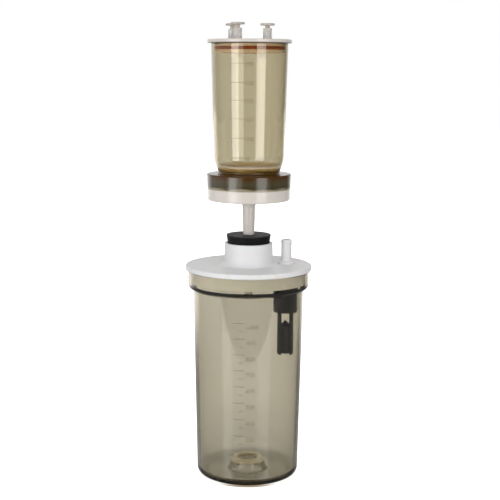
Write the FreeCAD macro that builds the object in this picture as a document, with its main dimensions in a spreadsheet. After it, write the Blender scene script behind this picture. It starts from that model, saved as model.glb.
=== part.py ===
"""Reusable vacuum filtration unit: a clear funnel on a base whose stem passes through a stopper into
a receiver bottle with a lid, a hose nozzle and a float valve. Millimetres, +Z up, origin at the
centre of the bottle's underside. Every piece is a document object whose sizes are bound to the
spreadsheet "Sizes" and whose height is bound to the piece that it stands on."""

import FreeCAD, Part
import math
import os

import Sketcher

TOLERANCE = 1e-3

SIZES = [
    # fits and gaps
    ("face_gap", 0.2, "between flat faces of pieces that come apart"),
    ("slip_gap", 0.35, "radial, between pieces that lift or turn apart"),
    ("fit_gap", 0.15, "radial, round a stem, tail or plug that is pushed in"),
    ("thread_gap", 0.05, "radial, round a tail or collar that is screwed in"),
    ("edge_round", 0.6, "rounding of rims and other thin edges"),
    # receiver bottle
    ("bottle_height", 193.1, "underside to rim"),
    ("bottle_top_r", 50.85, "outer radius under the ledge"),
    ("bottle_draft", 3.9, "radius lost from the ledge down to the floor"),
    ("bottle_wall", 3.0, "side wall"),
    ("bottle_floor", 4.0, "floor thickness"),
    ("bottle_corner", 6.0, "outer corner radius at the floor"),
    ("floor_corner", 4.0, "inner corner radius at the floor"),
    ("band_height", 17.0, "underside of the ledge to the rim"),
    ("ledge_thick", 1.5, "ledge thickness"),
    ("ledge_corner", 4.5, "outer corner radius of the ledge"),
    ("ledge_blend", 1.0, "fillets where the ledge meets the side wall"),
    ("ledge_reach", 5.05, "wide band beyond the side wall"),
    ("band_wall", 2.9, "wall of the wide band"),
    ("punt_height", 14.2, "crest of the punt above the underside"),
    ("punt_top_r", 14.6, "radius where the punt's side meets its crest"),
    ("punt_foot_r", 17.6, "radius where the punt's side would meet the floor"),
    ("dimple_r", 10.4, "radius of the dimple in the punt's top"),
    ("dimple_depth", 1.8, "depth of the dimple"),
    ("punt_round", 2.4, "rounding of the punt's crest"),
    ("punt_blend", 3.0, "fillets at the punt's foot"),
    ("foot_relief", 0.8, "hollow of the underside inside the foot ring"),
    ("foot_width", 9.2, "radial width of the foot ring"),
    # receiver gasket
    ("gasket_gap", 0.5, "radial gap between the gasket and the band"),
    ("gasket_width", 3.9, "radial width"),
    ("gasket_thick", 1.2, "thickness"),
    # receiver lid
    ("lid_overhang", 2.3, "disc beyond the bottle's band"),
    ("lid_thick", 4.8, "disc thickness at the edge"),
    ("lid_round", 1.5, "rounding of the disc's edges"),
    ("lid_plate", 3.6, "plate thickness inside the plug"),
    ("plug_clear", 3.4, "between the lid's plug and the gasket"),
    ("lid_plug_wall", 2.6, "plug wall"),
    ("lid_plug_blend", 1.3, "fillet between plug and plate"),
    ("collar_height", 20.2, "collar above the disc"),
    ("collar_wall", 2.65, "collar wall at its top"),
    ("collar_draft", 0.55, "collar's foot wider than its top"),
    ("collar_blend", 4.0, "fillet between collar and disc"),
    # vacuum nozzle
    ("nozzle_angle", 8.0, "degrees from +X towards +Y"),
    ("nozzle_height", 22.4, "above the lid's top face"),
    ("nozzle_r", 4.85, "hose end radius"),
    ("nozzle_wall", 2.1, "wall of the hose end"),
    ("barb_step", 0.35, "barb beyond the hose end"),
    ("barb_length", 3.2, "length of the barb"),
    ("barb_lead", 1.05, "length of the barb's back slope"),
    ("barb_round", 0.8, "rounding of the barb's crest"),
    ("tip_lead", 0.15, "tip narrower than the hose end"),
    ("tail_wall", 2.25, "wall of the tail below the flange"),
    ("flange_step", 2.7, "flange beyond the tail"),
    ("flange_thick", 1.3, "flange thickness at its edge"),
    ("flange_round", 0.4, "rounding of flange and tip"),
    ("nozzle_blend", 1.8, "height and fillet of the cone on the flange"),
    ("boss_depth", 6.0, "boss below the lid's plate, as wide as the valve cap"),
    ("seal_width", 4.45, "radial width of the nozzle's seal"),
    ("seal_thick", 1.5, "thickness of the nozzle's seal"),
    # float valve
    ("cap_clear", 0.9, "between the valve cap and the bottle's wall"),
    ("cap_height", 34.0, "valve cap height"),
    ("cap_wall", 2.45, "valve cap wall"),
    ("cap_thread", 12.0, "length of tail held in the cap"),
    ("cage_r", 7.8, "cage outer radius"),
    ("cage_wall", 1.8, "cage wall"),
    ("cage_length", 41.0, "cage below the cap"),
    ("cage_step", 1.3, "cage collar beyond the cage"),
    ("cage_collar", 3.2, "height of the cage collar held in the cap"),
    ("window_width", 8.0, "front and back windows of the cage"),
    ("hook_height", 1.4, "inward hooks at the cage's feet"),
    ("hook_reach", 1.6, "reach of the hooks"),
    ("seat_bore", 2.8, "valve seat bore radius"),
    ("seat_thick", 2.5, "valve seat thickness"),
    ("float_play", 0.4, "radial gap between float and cage"),
    ("float_height", 31.4, "float height with its 45 degree cone"),
    ("float_round", 0.8, "rounding of the float's foot"),
    # stopper
    ("stopper_top_r", 20.5, "stopper top radius"),
    ("stopper_draft", 4.0, "radius lost down to the stopper's foot"),
    ("stopper_height", 25.0, "stopper height"),
    ("stopper_proud", 7.7, "stopper above the collar"),
    # funnel base
    ("stem_length", 89.6, "stem below the base"),
    ("stem_root_r", 6.1, "stem radius at the base"),
    ("stem_draft", 2.4, "radius lost down to the stem's tip"),
    ("stem_flare", 7.0, "fillet between stem and base"),
    ("stem_wall", 1.5, "stem wall at the tip"),
    ("stem_show", 31.8, "stem between stopper and base"),
    ("drain_wall", 2.8, "stem wall at the drain"),
    ("base_r", 37.75, "base radius"),
    ("base_height", 10.7, "base height to its shoulder"),
    ("base_corner", 1.5, "bottom corner radius"),
    ("base_round", 0.4, "rounding of the shoulder and the stem's tip"),
    ("rim_step", 0.85, "raised rim inside the shoulder"),
    ("rim_height", 1.6, "raised rim above the shoulder"),
    ("rim_wall", 2.55, "wall between the rim and the cup"),
    ("seat_height", 3.4, "screen seat above the base's underside"),
    ("pocket_depth", 0.8, "depth of the pocket that centres the screen"),
    ("drain_floor", 1.7, "floor thickness at the drain"),
    ("drain_fall", 0.9, "fall of the drain floor"),
    ("rib_count", 12, "ribs under the screen"),
    ("rib_width", 1.2, "rib width"),
    # bayonet
    ("lug_count", 3, "bayonet lugs"),
    ("lug_angle", 20.0, "lug length, degrees"),
    ("lug_height", 2.0, "lug height"),
    ("lug_reach", 1.0, "lug beyond the boss"),
    ("entry_play", 6.0, "entry slot longer than the lug, degrees"),
    ("lock_turn", 60.0, "turn between locked and free, degrees"),
    # filter stack
    ("screen_r", 23.5, "screen and membrane radius"),
    ("screen_thick", 1.6, "screen thickness"),
    ("screen_hole_r", 1.0, "hole radius"),
    ("screen_margin", 3.0, "outer holes' centres inside the gasket"),
    ("membrane_thick", 0.2, "membrane thickness"),
    ("seal_ring_width", 2.9, "radial width of the membrane's gasket"),
    ("seal_ring_thick", 1.5, "thickness of the membrane's gasket"),
    # filter funnel
    ("funnel_wall", 2.4, "funnel wall"),
    ("funnel_low_r", 31.9, "outer radius above the shoulder"),
    ("funnel_draft", 2.85, "radius gained up to the rim"),
    ("funnel_height", 116.4, "rim above the ring's edge"),
    ("shoulder_height", 11.1, "start of the shoulder above the ring's edge"),
    ("shoulder_step", 4.4, "radius lost from the shoulder to the ring"),
    ("shoulder_round", 24.0, "radius of the shoulder"),
    ("shoulder_blend", 1.2, "fillet where the shoulder meets the ring"),
    ("mouth_land", 2.8, "straight mouth below the throat's cone"),
    ("ring_overhang", 0.35, "grip ring's foot beyond the base"),
    ("ring_flare", 0.35, "grip ring wider at its top"),
    ("ring_height", 13.2, "grip ring height at its edge"),
    ("ring_rise", 0.9, "rise of the ring's top face, and its edge's rounding"),
    ("rim_gap", 0.25, "radial, between the base's rim and the ring's skirt"),
    # funnel lid
    ("cover_overhang", 3.25, "disc beyond the funnel's rim"),
    ("cover_thick", 3.6, "disc thickness"),
    ("cover_round", 0.7, "rounding of the disc's edges"),
    ("cover_plug", 8.6, "plug depth"),
    ("cover_plug_wall", 4.4, "plug wall"),
    ("groove_low", 3.05, "groove above the plug's end"),
    ("o_ring_r", 1.35, "O-ring section radius"),
    ("o_ring_proud", 0.15, "O-ring beyond the plug"),
    ("port_count", 3, "tubes on the lid"),
    ("port_reach", 19.0, "tube axes from the lid's axis"),
    ("port_angle", 34.6, "first tube, degrees from +X towards -Y"),
    ("port_step", 90.0, "angle between tubes"),
    ("port_bore", 2.6, "tube bore radius"),
    ("port_wall", 1.45, "tube wall at its foot"),
    ("port_height", 9.5, "tube height"),
    ("port_draft", 0.6, "tube taper, degrees"),
    # port plugs
    ("plug_overhang", 2.35, "plug disc beyond the tube"),
    ("plug_disc", 2.0, "plug disc thickness"),
    ("plug_round", 0.8, "rounding of the disc's edges"),
    ("plug_neck", 2.4, "neck between tube and disc"),
    ("plug_stem", 8.0, "plug stem in the tube"),
    ("bead_rise", 0.35, "sealing beads beyond the stem"),
    ("bead_length", 2.0, "length of a sealing bead"),
    ("right_plug_out", 0.0, "front right plug pulled out of its tube"),
    ("left_plug_out", 0.7, "front left plug pulled out of its tube"),
    ("back_plug_out", 0.5, "back left plug pulled out of its tube"),
]

PORT_PLUGS = [
    # name, tube counted from the first, size that says how far it is pulled out
    ("port_plug_front_right", 0, "right_plug_out"),
    ("port_plug_front_left", 1, "left_plug_out"),
    ("port_plug_back_left", 2, "back_plug_out"),
]

SCREEN_RINGS = 4
PLUG_BEADS = 2

# Where a sketch's lines and circles are first drawn, before its constraints move them.
FIRST_CENTRE = 60.0
FIRST_RADIUS = 40.0
FIRST_DISTANCE = 5.0

# Radii that several pieces share.
BAND_R = "(Sizes.bottle_top_r + Sizes.ledge_reach)"
BAND_IN = "(Sizes.bottle_top_r + Sizes.ledge_reach - Sizes.band_wall)"
STOPPER_TAPER = "(Sizes.stopper_draft / Sizes.stopper_height)"
COLLAR_BORE = "(Sizes.stopper_top_r + Sizes.fit_gap - Sizes.stopper_proud * " + STOPPER_TAPER + ")"
COLLAR_FOOT_R = "(" + COLLAR_BORE + " + Sizes.collar_wall + Sizes.collar_draft)"
NOZZLE_BORE = "(Sizes.nozzle_r - Sizes.nozzle_wall)"
TAIL_R = "(Sizes.nozzle_r - Sizes.nozzle_wall + Sizes.tail_wall)"
FLANGE_R = "(" + TAIL_R + " + Sizes.flange_step)"
CAP_IN = "(Sizes.cage_r + Sizes.cage_step + Sizes.thread_gap)"
CAP_R = "(" + CAP_IN + " + Sizes.cap_wall)"
NOZZLE_REACH = "(Sizes.bottle_top_r - Sizes.bottle_wall - Sizes.cap_clear - " + CAP_R + ")"
NOZZLE_X = NOZZLE_REACH + " * cos(Sizes.nozzle_angle * 1 deg)"
NOZZLE_Y = NOZZLE_REACH + " * sin(Sizes.nozzle_angle * 1 deg)"
STEM_TIP_R = "(Sizes.stem_root_r - Sizes.stem_draft)"
RIM_R = "(Sizes.base_r - Sizes.rim_step)"
CUP_R = "(Sizes.base_r - Sizes.rim_step - Sizes.rim_wall)"
DRAIN_R = "(Sizes.stem_root_r - Sizes.drain_wall)"
SEAL_RING_R = "(Sizes.screen_r - Sizes.seal_ring_width)"
FUNNEL_MOUTH_R = "(Sizes.funnel_low_r + Sizes.funnel_draft)"
COVER_PLUG_R = ("(" + FUNNEL_MOUTH_R + " - Sizes.funnel_wall - Sizes.slip_gap"
                " - Sizes.cover_plug * Sizes.funnel_draft"
                " / (Sizes.funnel_height - Sizes.shoulder_height))")
GROOVE_R = "(" + COVER_PLUG_R + " - 2 * Sizes.o_ring_r + Sizes.o_ring_proud)"
PORT_R = "(Sizes.port_bore + Sizes.port_wall)"

# Heights and depths that several pieces share.
LEDGE_FOOT = "(Sizes.bottle_height - Sizes.band_height)"
LEDGE_TOP = "(Sizes.bottle_height - Sizes.band_height + Sizes.ledge_thick)"
LID_PLUG = ("(Sizes.band_height - Sizes.ledge_thick - Sizes.gasket_thick - Sizes.plug_clear"
            " + Sizes.face_gap)")
TAIL_LENGTH = "(Sizes.lid_plate + Sizes.boss_depth + Sizes.seal_thick + Sizes.cap_thread)"
GROOVE_HEIGHT = "(2 * Sizes.o_ring_r + 2 * Sizes.fit_gap)"
STACK = "(Sizes.screen_thick + Sizes.membrane_thick + Sizes.seal_ring_thick + Sizes.face_gap)"
BASE_TOP = "(Sizes.base_height - Sizes.seat_height - " + STACK + ")"

# Places along the axis, each from the piece below.
LID_TOP_Z = "receiver_lid.Placement.Base.z + (" + LID_PLUG + " + Sizes.lid_thick) * 1 mm"
BOSS_END_Z = LID_TOP_Z + " - (Sizes.lid_plate + Sizes.boss_depth) * 1 mm"
SCREEN_Z = "funnel_base.Placement.Base.z + (Sizes.stem_length + Sizes.seat_height) * 1 mm"
MEMBRANE_Z = SCREEN_Z + " + Sizes.screen_thick * 1 mm"
SEAL_RING_Z = MEMBRANE_Z + " + Sizes.membrane_thick * 1 mm"
FUNNEL_Z = SEAL_RING_Z + " + (Sizes.seal_ring_thick + Sizes.face_gap) * 1 mm"
COVER_Z = (FUNNEL_Z + " + (" + BASE_TOP + " + Sizes.face_gap + Sizes.ring_height"
           " + Sizes.funnel_height + Sizes.face_gap) * 1 mm")


def make_sheet(doc):
    """The driving dimensions, one to a row, each with an alias."""
    sheet = doc.addObject("Spreadsheet::Sheet", "Sizes")
    for row, (alias, value, meaning) in enumerate(SIZES, start=1):
        sheet.set("A%d" % row, str(value))
        sheet.set("B%d" % row, meaning)
        sheet.setAlias("A%d" % row, alias)
    doc.recompute()
    return sheet


def make_body(doc, name):
    body = doc.addObject("PartDesign::Body", name)
    body.Label = name
    return body


def origin_plane(body, role):
    return [item for item in body.Origin.OriginFeatures if item.Role == role][0]


def make_sketch(body, name, role="XZ_Plane", height=None):
    """An empty sketch on one of the body's origin planes, moved up to an expression's height."""
    sketch = body.newObject("Sketcher::SketchObject", name)
    sketch.AttachmentSupport = [(origin_plane(body, role), "")]
    sketch.MapMode = "FlatFace"
    if height is not None:
        sketch.setExpression("AttachmentOffset.Base.z", height)
    return sketch


def pin_coordinate(sketch, kind, axis, line, expression):
    """Fix one coordinate of a line's start point: on the axis where it is zero, by a size elsewhere."""
    if expression == "0":
        sketch.addConstraint(Sketcher.Constraint("PointOnObject", line, 1, axis))
        return
    index = sketch.addConstraint(Sketcher.Constraint(kind, -1, 1, line, 1, FIRST_DISTANCE))
    sketch.setExpression("Constraints[%d]" % index, expression)


def draw_outline(sketch, corners):
    """A closed outline through named corners, each with two expressions from the sketch's origin."""
    count = len(corners)
    start = []
    for i in range(count + 1):
        angle = 2 * math.pi * i / count
        across = FIRST_CENTRE + FIRST_RADIUS * math.cos(angle)
        start.append(FreeCAD.Vector(across, FIRST_RADIUS * math.sin(angle), 0))
    for i in range(count):
        sketch.addGeometry(Part.LineSegment(start[i], start[i + 1]))
    for i in range(count):
        sketch.addConstraint(Sketcher.Constraint("Coincident", i, 2, (i + 1) % count, 1))
    for i, (_, across, up) in enumerate(corners):
        pin_coordinate(sketch, "DistanceX", -2, i, across)
        pin_coordinate(sketch, "DistanceY", -1, i, up)


def draw_circle(sketch, x, y, radius):
    """A circle whose centre and radius are bound to expressions."""
    centre = FreeCAD.Vector(FIRST_CENTRE, FIRST_CENTRE, 0)
    circle = sketch.addGeometry(Part.Circle(centre, FreeCAD.Vector(0, 0, 1), FIRST_RADIUS))
    for kind, axis, place in (("DistanceX", -2, x), ("DistanceY", -1, y)):
        if place == "0":
            sketch.addConstraint(Sketcher.Constraint("PointOnObject", circle, 3, axis))
        else:
            index = sketch.addConstraint(Sketcher.Constraint(kind, -1, 1, circle, 3, FIRST_DISTANCE))
            sketch.setExpression("Constraints[%d]" % index, place)
    index = sketch.addConstraint(Sketcher.Constraint("Radius", circle, FIRST_RADIUS))
    sketch.setExpression("Constraints[%d]" % index, radius)


def volume(body):
    return body.Shape.Volume if body.Tip else 0.0


def changed(body, before, grows):
    """Recompute, and make sure that the last feature added or removed material."""
    body.Document.recompute()
    change = volume(body) - before
    if (change > TOLERANCE) != grows or abs(change) <= TOLERANCE:
        raise RuntimeError("%s: %s did not change the solid as meant" % (body.Label, body.Tip.Label))


def turn(body, name, corners, feature="PartDesign::Revolution", angle=None):
    """Revolve an outline about the body's Z axis, a full turn or a slice centred on the XZ plane."""
    before = volume(body)
    sketch = make_sketch(body, name + "Sketch")
    draw_outline(sketch, corners)
    revolve = body.newObject(feature, name)
    revolve.Profile = sketch
    revolve.ReferenceAxis = (sketch, ["V_Axis"])
    if angle is None:
        revolve.Angle = 360
    else:
        revolve.Midplane = True
        revolve.setExpression("Angle", angle)
    changed(body, before, feature == "PartDesign::Revolution")
    return revolve


def corner_edges(body, profile, names, corners):
    """Names of the circular edges that the named corners of a revolved outline swept."""
    body.Document.recompute()
    order = [name for name, _, _ in corners]
    places = [profile.Profile[0].Geometry[order.index(name)].StartPoint for name in names]
    found = []
    for index, edge in enumerate(body.Shape.Edges, start=1):
        curve = edge.Curve
        if not isinstance(curve, Part.Circle) or math.hypot(curve.Center.x, curve.Center.y) > TOLERANCE:
            continue
        for place in places:
            if abs(curve.Radius - place.x) < TOLERANCE and abs(curve.Center.z - place.y) < TOLERANCE:
                found.append("Edge%d" % index)
    if len(found) < len(names):
        raise RuntimeError("%s: an edge to round is missing" % body.Label)
    return found


def round_corners(body, profile, corners, names, radius):
    """Fillet the edges swept by some corners of a revolved outline."""
    edges = corner_edges(body, profile, names, corners)
    base = body.Tip
    fillet = body.newObject("PartDesign::Fillet", "Round_" + names[0])
    fillet.Base = (base, edges)
    fillet.setExpression("Radius", radius)
    body.Document.recompute()
    return fillet


def repeat(body, feature, name, count, angle=None, reverse=False):
    """Polar pattern of one feature about the body's Z axis."""
    before = volume(body)
    pattern = body.newObject("PartDesign::PolarPattern", name)
    pattern.Originals = [feature]
    pattern.Axis = (feature.Profile[0], ["V_Axis" if in_section(feature) else "N_Axis"])
    pattern.Reversed = reverse
    pattern.setExpression("Occurrences", count)
    if angle is None:
        pattern.Angle = 360
    else:
        pattern.setExpression("Angle", angle)
    body.Tip = pattern
    grows = feature.TypeId in ("PartDesign::Pad", "PartDesign::Revolution")
    changed(body, before, grows)
    return pattern


def in_section(feature):
    """Whether a feature's sketch stands on the XZ plane, with the axis as its vertical."""
    return feature.Profile[0].AttachmentSupport[0][0].Role == "XZ_Plane"


def extrude(body, name, sketch, length, feature="PartDesign::Pad", reverse=False, draft=None):
    """Pad or pocket a sketch by an expression's length."""
    before = volume(body)
    extrusion = body.newObject(feature, name)
    extrusion.Profile = sketch
    extrusion.setExpression("Length", length)
    extrusion.Reversed = reverse
    if draft is not None:
        extrusion.setExpression("TaperAngle", draft)
    changed(body, before, feature == "PartDesign::Pad")
    return extrusion


def place(piece, z, x=None, y=None):
    """Bind a piece's place to expressions."""
    for axis, expression in (("x", x), ("y", y), ("z", z)):
        if expression is not None:
            piece.setExpression("Placement.Base." + axis, expression)


def turn_to(piece, degrees):
    """Bind a piece's turn about its own Z axis to an expression."""
    piece.Placement.Rotation = FreeCAD.Rotation(FreeCAD.Vector(0, 0, 1), 0)
    piece.setExpression("Placement.Rotation.Angle", degrees + " * 1 deg")


def make_ring(doc, name, outer, inner, thickness):
    """A flat ring with square edges."""
    body = make_body(doc, name)
    corners = [
        ("foot_in", inner, "0"),
        ("foot_out", outer, "0"),
        ("top_out", outer, thickness),
        ("top_in", inner, thickness),
    ]
    profile = turn(body, "Ring", corners)
    return body, profile, corners


def make_receiver_bottle(doc):
    """Bottle in one moulding: punt, drafted wall, ledge and a wide band up to the rim."""
    body = make_body(doc, "receiver_bottle")
    foot_r = "(Sizes.bottle_top_r - Sizes.bottle_draft)"
    inner_top = "Sizes.bottle_top_r - Sizes.bottle_wall"
    dimple_floor = "(Sizes.punt_height - Sizes.dimple_depth)"
    punt_under = dimple_floor + " - Sizes.bottle_wall"
    corners = [
        ("hollow_top", "0", punt_under),
        ("hollow_edge", "Sizes.punt_top_r - Sizes.bottle_wall", punt_under),
        ("hollow_mouth", "Sizes.punt_foot_r - Sizes.bottle_wall", "Sizes.foot_relief"),
        ("land_in", foot_r + " - Sizes.foot_width", "Sizes.foot_relief"),
        ("land_out", foot_r + " - Sizes.foot_width + Sizes.foot_relief", "0"),
        ("foot", foot_r, "0"),
        ("neck", "Sizes.bottle_top_r", LEDGE_FOOT),
        ("ledge_out", BAND_R, LEDGE_FOOT),
        ("rim_out", BAND_R, "Sizes.bottle_height"),
        ("rim_in", BAND_IN, "Sizes.bottle_height"),
        ("ledge_back", BAND_IN, LEDGE_TOP),
        ("ledge_in", inner_top, LEDGE_TOP),
        ("floor_out", foot_r + " - Sizes.bottle_wall", "Sizes.bottle_floor"),
        ("punt_foot", "Sizes.punt_foot_r", "Sizes.bottle_floor"),
        ("punt_rim", "Sizes.punt_top_r", "Sizes.punt_height"),
        ("crest", "Sizes.dimple_r", "Sizes.punt_height"),
        ("dimple", "Sizes.dimple_r - Sizes.dimple_depth", dimple_floor),
        ("dimple_middle", "0", dimple_floor),
    ]
    profile = turn(body, "Wall", corners)
    round_corners(body, profile, corners, ["foot"], "Sizes.bottle_corner")
    round_corners(body, profile, corners, ["floor_out"], "Sizes.floor_corner")
    round_corners(body, profile, corners, ["ledge_out"], "Sizes.ledge_corner")
    round_corners(body, profile, corners, ["ledge_back"], "Sizes.gasket_gap")
    round_corners(body, profile, corners, ["punt_foot", "hollow_mouth"], "Sizes.punt_blend")
    round_corners(body, profile, corners, ["neck", "ledge_in"], "Sizes.ledge_blend")
    round_corners(body, profile, corners, ["punt_rim"], "Sizes.punt_round")
    round_corners(body, profile, corners, ["rim_out", "rim_in"], "Sizes.edge_round")
    return body


def make_receiver_gasket(doc):
    """Rubber ring that lies on the bottle's ledge."""
    outer = BAND_IN + " - Sizes.gasket_gap"
    inner = outer + " - Sizes.gasket_width"
    body, profile, corners = make_ring(doc, "receiver_gasket", outer, inner, "Sizes.gasket_thick")
    names = [name for name, _, _ in corners]
    rounding = "min(Sizes.edge_round; Sizes.gasket_thick / 3)"
    round_corners(body, profile, corners, names, rounding)
    place(body, LEDGE_TOP)
    return body


def make_receiver_lid(doc):
    """Opaque lid: disc, hollow plug, tapered collar for the stopper and a boss for the nozzle."""
    body = make_body(doc, "receiver_lid")
    plug_r = BAND_IN + " - Sizes.slip_gap"
    plug_in = plug_r + " - Sizes.lid_plug_wall"
    disc_r = BAND_R + " + Sizes.lid_overhang"
    disc_top = LID_PLUG + " + Sizes.lid_thick"
    plate_under = disc_top + " - Sizes.lid_plate"
    collar_top = disc_top + " + Sizes.collar_height"
    bore_foot = COLLAR_BORE + " - (Sizes.collar_height + Sizes.lid_plate) * " + STOPPER_TAPER
    corners = [
        ("plug_foot_in", plug_in, "0"),
        ("plug_foot_out", plug_r, "0"),
        ("plug_root", plug_r, LID_PLUG),
        ("disc_under", disc_r, LID_PLUG),
        ("disc_edge", disc_r, disc_top),
        ("collar_foot", COLLAR_FOOT_R, disc_top),
        ("collar_edge", COLLAR_BORE + " + Sizes.collar_wall", collar_top),
        ("bore_edge", COLLAR_BORE, collar_top),
        ("bore_foot", bore_foot, plate_under),
        ("plate_root", plug_in, plate_under),
    ]
    profile = turn(body, "Shell", corners)
    room = NOZZLE_REACH + " - " + FLANGE_R + " - Sizes.face_gap - " + COLLAR_FOOT_R
    round_corners(body, profile, corners, ["collar_foot"], "min(Sizes.collar_blend; " + room + ")")
    round_corners(body, profile, corners, ["disc_edge", "disc_under"], "Sizes.lid_round")
    round_corners(body, profile, corners, ["collar_edge", "bore_edge"], "Sizes.edge_round")
    round_corners(body, profile, corners, ["plate_root"], "Sizes.lid_plug_blend")
    boss = make_sketch(body, "BossSketch", "XY_Plane", plate_under)
    draw_circle(boss, NOZZLE_X, NOZZLE_Y, CAP_R)
    extrude(body, "Boss", boss, "Sizes.boss_depth", reverse=True)
    bore = make_sketch(body, "TailBoreSketch", "XY_Plane", disc_top)
    draw_circle(bore, NOZZLE_X, NOZZLE_Y, TAIL_R + " + Sizes.fit_gap")
    extrude(body, "TailBore", bore, "Sizes.lid_plate + Sizes.boss_depth", "PartDesign::Pocket")
    place(body, "Sizes.bottle_height + Sizes.face_gap - " + LID_PLUG)
    return body


def make_vacuum_nozzle(doc):
    """Hose nozzle: barbed tube and flange above the lid, and a tail through it into the valve cap."""
    body = make_body(doc, "vacuum_nozzle")
    flange_top = TAIL_LENGTH + " + Sizes.flange_thick"
    tip = TAIL_LENGTH + " + Sizes.nozzle_height"
    barb = tip + " - Sizes.barb_length"
    corners = [
        ("tail_in", NOZZLE_BORE, "0"),
        ("tail_out", TAIL_R, "0"),
        ("tail_root", TAIL_R, TAIL_LENGTH),
        ("flange_under", FLANGE_R, TAIL_LENGTH),
        ("flange_edge", FLANGE_R, flange_top),
        ("tube_foot", "Sizes.nozzle_r", flange_top + " + Sizes.nozzle_blend"),
        ("barb_foot", "Sizes.nozzle_r", barb),
        ("barb_edge", "Sizes.nozzle_r + Sizes.barb_step", barb + " + Sizes.barb_lead"),
        ("tip_out", "Sizes.nozzle_r - Sizes.tip_lead", tip),
        ("tip_in", NOZZLE_BORE, tip),
    ]
    profile = turn(body, "Tube", corners)
    round_corners(body, profile, corners, ["flange_edge", "tip_out"], "Sizes.flange_round")
    round_corners(body, profile, corners, ["tube_foot"], "Sizes.nozzle_blend")
    round_corners(body, profile, corners, ["barb_edge"], "Sizes.barb_round")
    place(body, LID_TOP_Z + " - " + TAIL_LENGTH + " * 1 mm", NOZZLE_X, NOZZLE_Y)
    return body


def make_nozzle_seal(doc):
    """Washer between the lid's boss and the valve cap."""
    inner = TAIL_R + " + Sizes.fit_gap"
    outer = inner + " + Sizes.seal_width"
    body, _, _ = make_ring(doc, "nozzle_seal", outer, inner, "Sizes.seal_thick")
    place(body, BOSS_END_Z + " - Sizes.seal_thick * 1 mm", NOZZLE_X, NOZZLE_Y)
    return body


def make_valve_cap(doc):
    """Cup that screws onto the nozzle's tail and carries the cage and the seat."""
    body = make_body(doc, "valve_cap")
    shoulder = "Sizes.cage_collar + Sizes.seat_thick"
    thread_r = TAIL_R + " + Sizes.thread_gap"
    thread_end = "Sizes.cap_height - Sizes.cap_thread"
    corners = [
        ("mouth_in", CAP_IN, "0"),
        ("mouth_out", CAP_R, "0"),
        ("top_out", CAP_R, "Sizes.cap_height"),
        ("thread_top", thread_r, "Sizes.cap_height"),
        ("thread_end", thread_r, thread_end),
        ("duct_top", NOZZLE_BORE, thread_end),
        ("duct_foot", NOZZLE_BORE, shoulder),
        ("cavity_top", CAP_IN, shoulder),
    ]
    profile = turn(body, "Cup", corners)
    round_corners(body, profile, corners, ["mouth_out", "top_out"], "Sizes.edge_round")
    place(body, BOSS_END_Z + " - (Sizes.seal_thick + Sizes.cap_height) * 1 mm", NOZZLE_X, NOZZLE_Y)
    return body


def make_float_cage(doc):
    """Cage of two hooked legs under a collar, with a window at the front and the back."""
    body = make_body(doc, "float_cage")
    inner = "Sizes.cage_r - Sizes.cage_wall"
    top = "Sizes.cage_length + Sizes.cage_collar"
    collar = "Sizes.cage_r + Sizes.cage_step"
    window_side = "Sizes.window_width / 2"
    corners = [
        ("hook_tip", inner + " - Sizes.hook_reach", "0"),
        ("foot", "Sizes.cage_r", "0"),
        ("collar_under", "Sizes.cage_r", "Sizes.cage_length"),
        ("collar_foot", collar, "Sizes.cage_length"),
        ("collar_top", collar, top),
        ("bore_top", inner, top),
        ("hook_root", inner, "Sizes.hook_height"),
        ("hook_edge", inner + " - Sizes.hook_reach", "Sizes.hook_height"),
    ]
    profile = turn(body, "Tube", corners)
    round_corners(body, profile, corners, ["foot"], "Sizes.cage_wall")
    window = make_sketch(body, "WindowSketch")
    draw_outline(window, [
        ("low_left", "-" + window_side, "0"),
        ("low_right", window_side, "0"),
        ("high_right", window_side, "Sizes.cage_length"),
        ("high_left", "-" + window_side, "Sizes.cage_length"),
    ])
    before = volume(body)
    cut = body.newObject("PartDesign::Pocket", "Windows")
    cut.Profile = window
    cut.SideType = "Symmetric"
    cut.setExpression("Length", "2 * Sizes.cage_r + 2 * Sizes.cage_wall")
    changed(body, before, False)
    place(body, "valve_cap.Placement.Base.z - Sizes.cage_length * 1 mm", NOZZLE_X, NOZZLE_Y)
    return body


def make_valve_seat(doc):
    """Rubber ring above the cage, which the float closes on."""
    outer = CAP_IN + " - Sizes.fit_gap"
    body, _, _ = make_ring(doc, "valve_seat", outer, "Sizes.seat_bore", "Sizes.seat_thick")
    place(body, "valve_cap.Placement.Base.z + Sizes.cage_collar * 1 mm", NOZZLE_X, NOZZLE_Y)
    return body


def make_valve_float(doc):
    """Float with a 45 degree cone, resting on the cage's hooks."""
    body = make_body(doc, "valve_float")
    radius = "Sizes.cage_r - Sizes.cage_wall - Sizes.float_play"
    corners = [
        ("foot_centre", "0", "0"),
        ("foot", radius, "0"),
        ("cone_foot", radius, "Sizes.float_height - (" + radius + ")"),
        ("apex", "0", "Sizes.float_height"),
    ]
    profile = turn(body, "Float", corners)
    round_corners(body, profile, corners, ["foot"], "Sizes.float_round")
    place(body, "float_cage.Placement.Base.z + (Sizes.hook_height + Sizes.face_gap / 2) * 1 mm",
          NOZZLE_X, NOZZLE_Y)
    return body


def stem_radius_at(height):
    """Outer radius of the base's stem at a height above its tip."""
    return STEM_TIP_R + " + Sizes.stem_draft * (" + height + ") / Sizes.stem_length"


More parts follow.
